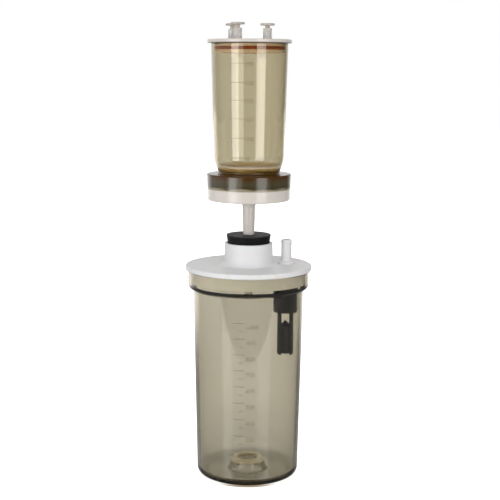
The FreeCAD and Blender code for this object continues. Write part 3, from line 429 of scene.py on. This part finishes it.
# Nitrile rubber is matt and nearly black, with a faint grey bloom.
gasket_rubber = moulded(
    "cut_nitrile_rubber", RUBBER_BLACK, RUBBER_DUSTY,
    smooth=0.55, rough=0.75, grain_mm=0.5, relief_mm=0.02, cloud_mm=9,
)[0]
dress("receiver_gasket", gasket_rubber)

# --- Receiver lid -----------------------------------------------------------------------------
# A thick white polypropylene lid that plugs the bottle's mouth. Its collar takes the rubber
# stopper, and its boss takes the float valve.
LID_WHITE = "#E4E4E4"
LID_SHADE = "#DDDDDD"
LID_RUBBED = "#D6D5D2"
LID_PLUG_PAINTED_LIGHT = "#F6F5F2"
LID_EDGE_R = 0.0579
LID_RIM_WIDE = 0.0012
LID_PLUG_TOP = (0.1925, 0.1935)
SMUDGE_MM = 7


def lay_over(material, mask, colour):
    """Lay a second colour over the material's own where the mask is 1."""
    plastic = material.node_tree.nodes["plastic"]
    under = plastic.inputs["Base Color"].links[0].from_socket
    over = add_node(material, "ShaderNodeMix", COLOURS, i0=mask, i6=under, i7=linear(colour))
    feed(material, plastic, Base_Color=over.outputs[2])


# Polypropylene is waxy: light goes a little way in, so its edges are soft, and its moulded skin has
# a fine satin grain. Handling greys the rim where the lid is gripped. The plug inside the bottle is
# painted lighter: painted light, for the lamps' light that reaches it through the bottle's wall.
white, place, height = moulded(
    "moulded_white_polypropylene", LID_WHITE, LID_SHADE,
    smooth=0.38, rough=0.52, grain_mm=0.6, relief_mm=0.015, cloud_mm=26,
)
feed(white, white.node_tree.nodes["plastic"], Subsurface_Weight=0.12, Subsurface_Scale=0.002)
out = off_axis(white, place)
at_rim = add_node(
    white, "ShaderNodeMapRange", SMOOTH, Value=out,
    From_Min=LID_EDGE_R - LID_RIM_WIDE, From_Max=LID_EDGE_R,
)
smudges = add_node(white, "ShaderNodeTexNoise", Vector=place, Scale=1000 / SMUDGE_MM, Detail=3.0)
dirt = add_node(white, "ShaderNodeMapRange", Value=smudges, From_Min=0.5, From_Max=0.75)
gripped = add_node(white, "ShaderNodeMath", TIMES, i0=at_rim, i1=dirt)
lay_over(white, gripped, LID_RUBBED)
# The plug inside the bottle is painted lighter: painted light.
inside = add_node(
    white, "ShaderNodeMapRange", SMOOTH, Value=height,
    From_Min=LID_PLUG_TOP[0], From_Max=LID_PLUG_TOP[1], To_Min=1.0, To_Max=0.0,
)
lay_over(white, inside, LID_PLUG_PAINTED_LIGHT)
dress("receiver_lid", white)

# --- Vacuum nozzle ----------------------------------------------------------------------------
# A hose nozzle of the same white polypropylene. Its tail goes down through the lid, where the
# valve's cap screws onto it and squeezes a flat black rubber seal under the lid's boss.
NOZZLE_SMUDGE_MM = 3

# The turned tube is a little glossier than the lid, and hoses have left faint grey smudges.
nozzle_white, place, _ = moulded(
    "turned_white_polypropylene", LID_WHITE, LID_SHADE,
    smooth=0.34, rough=0.48, grain_mm=0.5, relief_mm=0.012, cloud_mm=14,
)
feed(
    nozzle_white,
    nozzle_white.node_tree.nodes["plastic"],
    Subsurface_Weight=0.15,
    Subsurface_Scale=0.0015,
)
smudges = add_node(
    nozzle_white, "ShaderNodeTexNoise", Vector=place, Scale=1000 / NOZZLE_SMUDGE_MM, Detail=3.0
)
dirt = add_node(
    nozzle_white, "ShaderNodeMapRange", Value=smudges, From_Min=0.55, From_Max=0.8, To_Max=0.6
)
lay_over(nozzle_white, dirt, LID_RUBBED)
dress("vacuum_nozzle", nozzle_white)

# Cut rubber is dull and black, with a dusting of grey.
seal_rubber = moulded(
    "cut_black_rubber", RUBBER_BLACK, RUBBER_DUSTY,
    smooth=0.5, rough=0.7, grain_mm=0.4, relief_mm=0.02, cloud_mm=5,
)[0]
dress("nozzle_seal", seal_rubber)

# --- Float valve ------------------------------------------------------------------------------
# A cap on the nozzle's tail holds a cage that is open at its front and back. The loose float
# inside rises on the liquid and closes the rubber seat before the pump can draw it in.
VALVE_BLACK = "#0A0908"
VALVE_WORN = "#141311"

# Black polypropylene with a semi-gloss skin: soft grey highlights, and patches worn paler.
valve_black = moulded(
    "moulded_black_polypropylene", VALVE_BLACK, VALVE_WORN,
    smooth=0.3, rough=0.45, grain_mm=0.5, relief_mm=0.02, cloud_mm=8,
)[0]
feed(valve_black, valve_black.node_tree.nodes["plastic"], Specular_IOR_Level=0.2)
for node in ("valve_cap", "float_cage"):
    dress(node, valve_black)

# Foamed polypropylene has an open skin: duller than the cage, with coarser pits.
float_black = moulded(
    "foamed_black_polypropylene", VALVE_BLACK, VALVE_WORN,
    smooth=0.45, rough=0.65, grain_mm=0.8, relief_mm=0.04, cloud_mm=4,
)[0]
dress("valve_float", float_black)

# The seat's moulded rubber is dull, black and even.
seat_rubber = moulded(
    "moulded_seat_rubber", RUBBER_BLACK, RUBBER_DUSTY,
    smooth=0.5, rough=0.7, grain_mm=0.5, relief_mm=0.02, cloud_mm=5,
)[0]
dress("valve_seat", seat_rubber)

# --- Stopper ----------------------------------------------------------------------------------
# A solid black rubber stopper, bored for the stem and pressed into the lid's collar. Its sides
# are ground to their taper.
STOPPER_SIDE = "#0C0B0C"
STOPPER_SIDE_DUSTY = "#131213"
STOPPER_TOP_PAINTED_SHEEN = "#3A373A"
STOPPER_TOP_HEIGHT = 0.2255
STOPPER_SHEEN_DEEP = 0.0008

# Ground rubber is dull and nearly black. Its top is painted a lighter grey, a painted sheen for the
# light from above.
stopper_rubber, _, height = moulded(
    "ground_black_rubber", STOPPER_SIDE, STOPPER_SIDE_DUSTY,
    smooth=0.5, rough=0.72, grain_mm=0.45, relief_mm=0.03, cloud_mm=6,
)
# The top is painted lighter: a painted sheen.
painted_sheen_on_top = add_node(
    stopper_rubber, "ShaderNodeMapRange", SMOOTH, Value=height,
    From_Min=STOPPER_TOP_HEIGHT - STOPPER_SHEEN_DEEP, From_Max=STOPPER_TOP_HEIGHT,
)
lay_over(stopper_rubber, painted_sheen_on_top, STOPPER_TOP_PAINTED_SHEEN)
feed(stopper_rubber, stopper_rubber.node_tree.nodes["plastic"], Specular_IOR_Level=0.25)
dress("stopper", stopper_rubber)

# --- Funnel base ------------------------------------------------------------------------------
# The natural polypropylene base: a stem that goes down through the stopper, and a shallow cup
# with the bayonet track that locks the funnel above the filter.
NATURAL = "#D8D2CB"
NATURAL_DEEP = "#D1CAC2"
NATURAL_RADIUS = (1.0, 0.85, 0.72)

# Without pigment, polypropylene is milky: light spreads inside it, so thin walls glow a little
# and the shadows on it are soft and warm.
natural = moulded(
    "moulded_natural_polypropylene", NATURAL, NATURAL_DEEP,
    smooth=0.12, rough=0.2, grain_mm=0.6, relief_mm=0.008, cloud_mm=18,
)[0]
feed(
    natural,
    natural.node_tree.nodes["plastic"],
    Subsurface_Weight=0.35,
    Subsurface_Radius=NATURAL_RADIUS,
    Subsurface_Scale=0.003,
)
dress("funnel_base", natural)

# --- Support screen, membrane and its gasket --------------------------------------------------
# A drilled polypropylene plate carries the filter membrane, and a thin ring of clear silicone
# seals the funnel to it.
SCREEN_WHITE = "#E6E3DE"
SCREEN_SHADE = "#DDD9D2"
MEMBRANE_WHITE = "#F1F0EC"
MEMBRANE_SHADE = "#EAE8E2"
SILICONE_PALE = "#DCDAD2"
SILICONE_DEEP = "#D2CFC6"
SILICONE_IOR = 1.41

# Drilled polypropylene keeps the satin skin of its plate, milky white.
screen_plastic = moulded(
    "drilled_polypropylene", SCREEN_WHITE, SCREEN_SHADE,
    smooth=0.35, rough=0.5, grain_mm=0.5, relief_mm=0.02, cloud_mm=10,
)[0]
dress("support_screen", screen_plastic)

# Mixed cellulose ester is a paper-like film: matt and white, with a felt of very fine fibres,
# drawn here at 0.4 mm so that it shows at all.
membrane = moulded(
    "cast_cellulose_membrane", MEMBRANE_WHITE, MEMBRANE_SHADE,
    smooth=0.8, rough=0.95, grain_mm=0.4, relief_mm=0.03, cloud_mm=6,
)[0]
dress("membrane_filter", membrane)

# Clear silicone is cloudy in the thickness of the ring, with a soft, rubbery sheen.
silicone = moulded(
    "moulded_clear_silicone", SILICONE_PALE, SILICONE_DEEP,
    smooth=0.3, rough=0.45, grain_mm=0.7, relief_mm=0.02, cloud_mm=7,
)[0]
feed(silicone, silicone.node_tree.nodes["plastic"], Transmission_Weight=0.6, IOR=SILICONE_IOR)
dress("membrane_gasket", silicone)

# --- Filter funnel ----------------------------------------------------------------------------
# The tall funnel of amber, clear polysulfone, moulded in one with the heavy ring that turns into
# the base's track. Its graduations stand on the front, a line and a number for each 50 mL.
FUNNEL_TINT = "#F9F8F3"
FUNNEL_TINT_DEEP = "#F6F4EE"
FUNNEL_LOSS_PER_MM = (0.116, 0.138, 0.205)
RING_FOOT = 0.2687
RING_CLEARNESS = 0.35
RING_ROUGH = 0.16
NECK_TOP = 0.29
NECK_FADE = (0.0018, 0.0012)
STREAK_WIDE_MM = 16
STREAK_HIGH_MM = 1.4
STREAK_REACH = 0.30
RING_TINT_AND_PAINTED_LIGHT = (
    (0.0, "#BDB39A"),
    (0.052, "#A1967C"),
    (0.108, "#4E4329"),
    (0.275, "#584F35"),
    (0.421, "#584A2E"),
    (0.533, "#5A3A0F"),
    (0.601, "#55350F"),
    (0.64, "#6A4A24"),
    (0.679, "#4A3212"),
    (0.739, "#6A5220"),
    (0.798, "#8F7440"),
    (0.859, "#B89A60"),
    (0.93, "#F5DFB5"),
    (1.0, "#F2E2BF"),
)
FUNNEL_MARKS = {
    "300": 0.3807,
    "250": 0.3643,
    "200": 0.3487,
    "150": 0.3325,
    "100": 0.3154,
    "50": 0.2980,
}
FUNNEL_LINE = (-0.0178, -0.0048)
FUNNEL_NUMBER_X = -0.0040
FUNNEL_NUMBER_RISE = 0.0018
FUNNEL_NUMBER_SIZE = 0.0050
FUNNEL_MARK_TINT = "#D6CDB4"


def colour_ramp(node, stops):
    """Fill a ramp's stops, each a position and a colour."""
    for stop, (position, colour) in zip(node.color_ramp.elements, (stops[0], stops[-1])):
        stop.position, stop.color = position, linear(colour)
    for position, colour in stops[1:-1]:
        node.color_ramp.elements.new(position).color = linear(colour)


# Amber polysulfone is as clear and glossy as the bottle's. The ring and the neck over it are
# painted in bands by height, made wavy by streaks where the plastic flowed round the tool: partly
# the brown of their thick tint, partly painted highlights and painted shade on the ring's edges and
# a painted pale light on the neck.
amber, place, height = clear_polysulfone(
    "moulded_amber_polysulfone", FUNNEL_TINT, FUNNEL_TINT_DEEP, FUNNEL_LOSS_PER_MM
)
amber_plastic = amber.node_tree.nodes["plastic"]
thick = add_node(
    amber, "ShaderNodeMapRange", SMOOTH, Value=height,
    From_Min=NECK_TOP - NECK_FADE[0], From_Max=NECK_TOP + NECK_FADE[1], To_Min=1.0, To_Max=0.0,
)
flat = (1000 / STREAK_WIDE_MM, 1000 / STREAK_WIDE_MM, 1000 / STREAK_HIGH_MM)
flattened = add_node(amber, "ShaderNodeMapping", Vector=place, Scale=flat)
streaks = add_node(amber, "ShaderNodeTexNoise", Vector=flattened, Scale=1.0, Detail=4.0)
up_ring = add_node(amber, "ShaderNodeMapRange", Value=height, From_Min=RING_FOOT, From_Max=NECK_TOP)
wavy = add_node(
    amber, "ShaderNodeMath", TIMES_PLUS, i0=streaks, i1=STREAK_REACH, i2=-STREAK_REACH / 2
)
band = add_node(amber, "ShaderNodeMath", {"operation": "ADD"}, i0=up_ring, i1=wavy)
# The ring's tone: the brown of its thick tint, with painted highlights and painted shade by height.
ring_tint_and_painted_light = add_node(amber, "ShaderNodeValToRGB", Fac=band)
colour_ramp(ring_tint_and_painted_light, RING_TINT_AND_PAINTED_LIGHT)
skin_tone = amber_plastic.inputs["Base Color"].links[0].from_socket
tone = add_node(amber, "ShaderNodeMix", COLOURS, i0=thick, i6=skin_tone, i7=ring_tint_and_painted_light.outputs[0])
clearness = add_node(amber, "ShaderNodeMapRange", Value=thick, To_Min=1.0, To_Max=RING_CLEARNESS)
ring_gloss = add_node(
    amber, "ShaderNodeMath", TIMES_PLUS, i0=thick, i1=RING_ROUGH, i2=amber.node_tree.nodes["gloss"]
)
feed(
    amber,
    amber_plastic,
    Base_Color=tone.outputs[2],
    Roughness=ring_gloss,
    Transmission_Weight=clearness,
)
dress("filter_funnel", amber)

marks = []
for number, mark_height in FUNNEL_MARKS.items():
    number_top = mark_height + FUNNEL_NUMBER_RISE
    marks.append(add_line(*FUNNEL_LINE, mark_height))
    marks.append(add_number(number, FUNNEL_NUMBER_X, number_top, FUNNEL_NUMBER_SIZE))
etched_amber = relief_polysulfone("etched_amber_polysulfone", FUNNEL_MARK_TINT)
funnel_scale = raise_marks("funnel_graduations", marks, "filter_funnel", etched_amber)
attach(funnel_scale, "funnel")

# --- Funnel lid and its plugs -----------------------------------------------------------------
# The funnel's lid of natural polypropylene plugs its rim with a red-brown silicone ring. Three
# short tubes on it are each closed with a soft plug.
POLYPROPYLENE_IOR = 1.49
PORT_FOOT = 0.4022
PORT_FADE = 0.001
PORT_CLEARNESS = 0.6
PORT_PALE = "#FDF8F2"
DISC_FOOT = 0.3985
DISC_SPAN = 0.002
DISC_FADE = (0.0006, 0.0012)
PLUG_PAINTED_LIGHT_AND_SHADE = ((0.4, "#EED6C4"), (0.47, "#6E675E"))
O_RING_RED = "#B45A22"
O_RING_DEEP = "#9C4A18"
SOFT_PLUG = "#DED6CD"
SOFT_PLUG_DEEP = "#D5CCC2"

# Milky polypropylene in three depths: the tubes are thin and nearly clear; the disc's underside is
# painted darker, a painted shade; and the plug in the funnel is painted a warm pale tone, painted
# light for the light that comes through the amber round it.
lid_natural, _, height = moulded(
    "moulded_clear_polypropylene", NATURAL, NATURAL_DEEP,
    smooth=0.14, rough=0.24, grain_mm=0.6, relief_mm=0.008, cloud_mm=18,
)
lid_plastic = lid_natural.node_tree.nodes["plastic"]
port_clearness = add_node(
    lid_natural, "ShaderNodeMapRange", SMOOTH, Value=height,
    From_Min=PORT_FOOT, From_Max=PORT_FOOT + PORT_FADE, To_Max=PORT_CLEARNESS,
)
up_disc = add_node(
    lid_natural, "ShaderNodeMapRange", Value=height,
    From_Min=DISC_FOOT - DISC_SPAN, From_Max=DISC_FOOT + DISC_SPAN,
)
# The disc's underside takes painted shade, and the plug below it painted warm light.
painted_plug_light_and_shade = add_node(lid_natural, "ShaderNodeValToRGB", Fac=up_disc)
colour_ramp(painted_plug_light_and_shade, PLUG_PAINTED_LIGHT_AND_SHADE)
below = add_node(
    lid_natural, "ShaderNodeMapRange", SMOOTH, Value=height,
    From_Min=DISC_FOOT + DISC_FADE[0], From_Max=DISC_FOOT + DISC_FADE[1], To_Min=1.0, To_Max=0.0,
)
skin_tone = lid_plastic.inputs["Base Color"].links[0].from_socket
low_tone = add_node(
    lid_natural, "ShaderNodeMix", COLOURS, i0=below, i6=skin_tone, i7=painted_plug_light_and_shade.outputs[0]
)
port_share = add_node(
    lid_natural, "ShaderNodeMapRange", SMOOTH, Value=height,
    From_Min=PORT_FOOT, From_Max=PORT_FOOT + PORT_FADE,
)
lid_tone = add_node(
    lid_natural, "ShaderNodeMix", COLOURS,
    i0=port_share, i6=low_tone.outputs[2], i7=linear(PORT_PALE),
)
feed(
    lid_natural,
    lid_plastic,
    Base_Color=lid_tone.outputs[2],
    IOR=POLYPROPYLENE_IOR,
    Transmission_Weight=port_clearness,
    Subsurface_Weight=0.35,
    Subsurface_Radius=NATURAL_RADIUS,
    Subsurface_Scale=0.002,
)
dress("funnel_lid", lid_natural)

# Silicone rubber: satin, slightly waxy, and a deep red-brown.
red_silicone = moulded(
    "moulded_red_silicone", O_RING_RED, O_RING_DEEP,
    smooth=0.35, rough=0.5, grain_mm=0.4, relief_mm=0.015, cloud_mm=6,
)[0]
dress("funnel_lid_o_ring", red_silicone)

# Soft polypropylene is waxier than the lid: a satin skin over milky, half-clear plastic.
soft = moulded(
    "moulded_soft_polypropylene", SOFT_PLUG, SOFT_PLUG_DEEP,
    smooth=0.32, rough=0.46, grain_mm=0.5, relief_mm=0.015, cloud_mm=8,
)[0]
feed(
    soft,
    soft.node_tree.nodes["plastic"],
    IOR=POLYPROPYLENE_IOR,
    Transmission_Weight=0.35,
    Subsurface_Weight=0.45,
    Subsurface_Radius=NATURAL_RADIUS,
    Subsurface_Scale=0.002,
)
for node in ("port_plug_front_right", "port_plug_front_left", "port_plug_back_left"):
    dress(node, soft)

# --- Studio -----------------------------------------------------------------------------------
# Softboxes stand at both sides of the lens, with a dim strip inside the left one and a lamp high
# above. The unit stands on coated white paper, in a white room that is dim behind the lens.
SOFTBOX_AWAY = 0.9
SOFTBOX_LOW = 0.06
SOFTBOX_HIGH = 0.44
OVERHEAD_AIM = 0.2
SHEET_FRONT_Y = -0.43
SHEET_BACK_Y = 6.0
SHEET_HALF_WIDTH = 4.0
SHEET_DROP = 0.0003
SHEET_ROUGH = 0.22
PAPER_FIBRE_MM = 2
PAPER_WHITE = "#EEEEEE"
PAPER_SHADE = "#EBEBEB"
CONTACT_PAINTED_SHADOW = "#94856C"
CONTACT_Y = (-0.034, -0.0435)
CONTACT_R = (0.0445, 0.0478)
UNDER_PUNT_R = (0.018, 0.035)
MIRRORED_R = (0.3, 0.85)
SHADOW_R = (0.04, 0.085)
SHADOW_LEVEL = 0.62
GLOOM_R = (0.03, 0.3)
GLOOM_LEVEL = 0.78
GATHERED_R = (0.013, 0.02)
GATHERED_LEVEL = 1.15
BACKDROP_R = (0.06, 0.22)
BACKDROP_LEVEL = 0.76
PAPER_WALLS = 3.5
ROOM_WALLS = 4.5
BEHIND = (0.46, 0.96)
BEHIND_LEAN = -0.17
LEFT_WALL = (-0.75, -0.97, 0.45)
RIGHT_WALL = (0.8, 0.97, 0.05)
AMBIENT = (0.38, 0.80)
AMBIENT_DIMMED = 0.95


def area_lamp(name, place, turn, width, height, radiance):
    """A rectangular lamp. Its power follows from its size, so that radiance is what it looks
    like in a mirror."""
    bpy.ops.object.light_add(type="AREA", location=place, rotation=turn)
    lamp = bpy.context.object
    lamp.name = name
    lamp.data.shape = "RECTANGLE"
    lamp.data.size = width
    lamp.data.size_y = height
    lamp.data.energy = radiance * math.pi * width * height


def softbox(name, azimuth, width, radiance):
    """A softbox that stands at an azimuth from the front and faces the axis."""
    turn = math.radians(azimuth)
    place = (
        SOFTBOX_AWAY * math.sin(turn),
        -SOFTBOX_AWAY * math.cos(turn),
        SOFTBOX_LOW + SOFTBOX_HIGH / 2,
    )
    area_lamp(name, place, (math.radians(90), 0, turn), width, SOFTBOX_HIGH, radiance)


def overhead(name, distance, elevation, width, depth, radiance):
    """A lamp in front of the unit, high above the lens, turned down to its middle."""
    rise = math.radians(elevation)
    place = (0, -distance * math.cos(rise), OVERHEAD_AIM + distance * math.sin(rise))
    area_lamp(name, place, (math.radians(90) - rise, 0, 0), width, depth, radiance)


def white_around(material, facing):
    """How white the room is in a direction, for what the unit mirrors. It is white behind the unit
    and at its sides, and stays dim in front."""
    ways = add_node(material, "ShaderNodeSeparateXYZ", Vector=facing)
    leaning = add_node(
        material, "ShaderNodeMath", TIMES_PLUS,
        i0=ways.outputs["X"], i1=BEHIND_LEAN, i2=ways.outputs["Y"],
    )
    behind = add_node(
        material, "ShaderNodeMapRange", SMOOTH, Value=leaning,
        From_Min=BEHIND[0], From_Max=BEHIND[1],
    )
    left, right = (
        add_node(
            material, "ShaderNodeMapRange", SMOOTH, Value=ways.outputs["X"],
            From_Min=near, From_Max=far, To_Max=level,
        )
        for near, far, level in (LEFT_WALL, RIGHT_WALL)
    )
    sides = add_node(material, "ShaderNodeMath", {"operation": "ADD"}, i0=left, i1=right)
    return add_node(material, "ShaderNodeMath", {"operation": "MAXIMUM"}, i0=behind, i1=sides)


def seen_how(material, walls):
    """The light path, whether it was mirrored, and whether it only went through clear plastic.
    After more walls than this, what was mirrored counts as seen through too."""
    path = add_node(material, "ShaderNodeLightPath")
    mirrored = add_node(
        material, "ShaderNodeMath", {"operation": "MINIMUM"},
        i0=path.outputs["Glossy Depth"], i1=1.0,
    )
    straight = add_node(material, "ShaderNodeMath", {"operation": "SUBTRACT"}, i0=1.0, i1=mirrored)
    deep = add_node(
        material, "ShaderNodeMath", {"operation": "GREATER_THAN"},
        i0=path.outputs["Transmission Depth"], i1=walls,
    )
    open_way = add_node(material, "ShaderNodeMath", {"operation": "MAXIMUM"}, i0=straight, i1=deep)
    through = add_node(
        material, "ShaderNodeMath", TIMES, i0=path.outputs["Is Transmission Ray"], i1=open_way
    )
    return path, mirrored, through


softbox("softbox_left", azimuth=-44.5, width=0.36, radiance=4.5)
softbox("softbox_left_edge", azimuth=-25.5, width=0.235, radiance=1.3)
softbox("softbox_right", azimuth=35.0, width=0.45, radiance=3.2)
overhead("softbox_above", distance=1.1, elevation=42.0, width=0.9, depth=0.5, radiance=1.25)

bpy.ops.mesh.primitive_plane_add(size=1.0, location=(0, 0, 0))
sheet = bpy.context.object
sheet.name = "sheet"
for corner in sheet.data.vertices:
    back = SHEET_BACK_Y if corner.co.y > 0 else SHEET_FRONT_Y
    side = SHEET_HALF_WIDTH if corner.co.x > 0 else -SHEET_HALF_WIDTH
    corner.co = (side, back, -SHEET_DROP)

# White paper with a coated face. It keeps the unit's shadow for the light that falls on it, while
# the lens and the clear plastics see it as plain white.
paper, place, _ = new_material("white_paper")
fibres = add_node(paper, "ShaderNodeTexNoise", Vector=place, Scale=1000 / PAPER_FIBRE_MM)
paper_tone = add_node(
    paper, "ShaderNodeMix", COLOURS, i0=fibres, i6=linear(PAPER_WHITE), i7=linear(PAPER_SHADE)
)
reach = add_node(paper, "ShaderNodeVectorMath", {"operation": "LENGTH"}, i0=place).outputs["Value"]
out_y = add_node(paper, "ShaderNodeSeparateXYZ", Vector=place).outputs["Y"]

# Where the front of the foot touches it, the paper has a painted shadow in the bottle's smoky tone.
in_front = add_node(
    paper, "ShaderNodeMapRange", SMOOTH, Value=out_y, From_Min=CONTACT_Y[0], From_Max=CONTACT_Y[1]
)
at_foot = add_node(
    paper, "ShaderNodeMapRange", SMOOTH, Value=reach,
    From_Min=CONTACT_R[0], From_Max=CONTACT_R[1], To_Min=1.0, To_Max=0.0,
)
painted_contact_shadow = add_node(paper, "ShaderNodeMath", TIMES, i0=in_front, i1=at_foot)
painted_shadow_tone = add_node(
    paper, "ShaderNodeMix", COLOURS, i0=painted_contact_shadow, i6=(1, 1, 1, 1), i7=linear(CONTACT_PAINTED_SHADOW)
)
sheet_tone = add_node(
    paper, "ShaderNodeMix", {"data_type": "RGBA", "blend_type": "MULTIPLY"},
    i0=1.0, i6=paper_tone.outputs[2], i7=painted_shadow_tone.outputs[2],
)
coated = add_node(
    paper, "ShaderNodeBsdfPrincipled", Base_Color=sheet_tone.outputs[2], Roughness=SHEET_ROUGH
)

# What the unit mirrors of the paper: white far out, and under the punt, where light gathers.
path, mirrored, through = seen_how(paper, PAPER_WALLS)
facing = add_node(paper, "ShaderNodeVectorMath", {"operation": "NORMALIZE"}, i0=place)
around = white_around(paper, facing)
under = add_node(
    paper, "ShaderNodeMapRange", SMOOTH, Value=reach,
    From_Min=UNDER_PUNT_R[0], From_Max=UNDER_PUNT_R[1], To_Min=1.0, To_Max=0.0,
)
far_out = add_node(
    paper, "ShaderNodeMapRange", SMOOTH, Value=reach, From_Min=MIRRORED_R[0], From_Max=MIRRORED_R[1]
)
around_far = add_node(paper, "ShaderNodeMath", TIMES, i0=around, i1=far_out)
lit = add_node(paper, "ShaderNodeMath", {"operation": "MAXIMUM"}, i0=around_far, i1=under)
mirror_view = add_node(paper, "ShaderNodeMath", TIMES, i0=mirrored, i1=lit)

# How light the paper is near the unit. Each level at the axis turns to plain white further out:
# the room's gloom, the contact shadow and what the punt gathers, as the clear plastics see the
# paper, and last the backdrop's soft shade, as the lens sees it.
gloom, shadow, gathered, backdrop = (
    add_node(
        paper, "ShaderNodeMapRange", SMOOTH, Value=reach,
        From_Min=inner, From_Max=outer, To_Min=level, To_Max=1.0,
    )
    for (inner, outer), level in (
        (GLOOM_R, GLOOM_LEVEL),
        (SHADOW_R, SHADOW_LEVEL),
        (GATHERED_R, GATHERED_LEVEL),
        (BACKDROP_R, BACKDROP_LEVEL),
    )
)
near_light = add_node(paper, "ShaderNodeMath", TIMES, i0=shadow, i1=gathered)
light_left = add_node(paper, "ShaderNodeMath", TIMES, i0=gloom, i1=near_light)
clear_view = add_node(paper, "ShaderNodeMath", TIMES, i0=through, i1=light_left)
plain_view = add_node(paper, "ShaderNodeMath", TIMES, i0=path.outputs["Is Camera Ray"], i1=backdrop)
views = add_node(paper, "ShaderNodeMath", {"operation": "ADD"}, i0=plain_view, i1=clear_view)
strength = add_node(paper, "ShaderNodeMath", {"operation": "ADD"}, i0=views, i1=mirror_view)
glow = add_node(paper, "ShaderNodeEmission", Color=painted_shadow_tone.outputs[2], Strength=strength)
lit_paper = add_node(paper, "ShaderNodeAddShader", i0=coated, i1=glow)
either = add_node(paper, "ShaderNodeMixShader", Fac=through, i1=lit_paper, i2=glow)
add_node(paper, "ShaderNodeOutputMaterial", Surface=either)
sheet.data.materials.append(paper)

# The room is plain white to the lens, through the clear plastics and in what the unit mirrors of
# its far walls. As a light it is soft, and stronger from above than from the sides.
room = bpy.data.worlds.new("white_room")
bpy.context.scene.world = room
room.use_nodes = True
room.node_tree.nodes.clear()
facing = add_node(room, "ShaderNodeTexCoord").outputs["Generated"]
path, mirrored, through = seen_how(room, ROOM_WALLS)
around = white_around(room, facing)
mirror_view = add_node(room, "ShaderNodeMath", TIMES, i0=mirrored, i1=around)
either_way = add_node(room, "ShaderNodeMath", {"operation": "MAXIMUM"}, i0=through, i1=mirror_view)
seen = add_node(
    room, "ShaderNodeMath", {"operation": "MAXIMUM"},
    i0=either_way, i1=path.outputs["Is Camera Ray"],
)
rising = add_node(room, "ShaderNodeSeparateXYZ", Vector=facing).outputs["Z"]
upward = add_node(
    room, "ShaderNodeMapRange", Value=rising,
    From_Min=0.0, From_Max=1.0, To_Min=AMBIENT[0], To_Max=AMBIENT[1],
)
dimmed = add_node(room, "ShaderNodeMath", TIMES_PLUS, i0=mirrored, i1=-AMBIENT_DIMMED, i2=1.0)
level = add_node(room, "ShaderNodeMath", TIMES, i0=upward, i1=dimmed)
ambient = add_node(room, "ShaderNodeBackground", Color=(1, 1, 1, 1), Strength=level)
white_wall = add_node(room, "ShaderNodeBackground", Color=(1, 1, 1, 1), Strength=1.0)
either = add_node(room, "ShaderNodeMixShader", Fac=seen, i1=ambient, i2=white_wall)
add_node(room, "ShaderNodeOutputWorld", Surface=either)
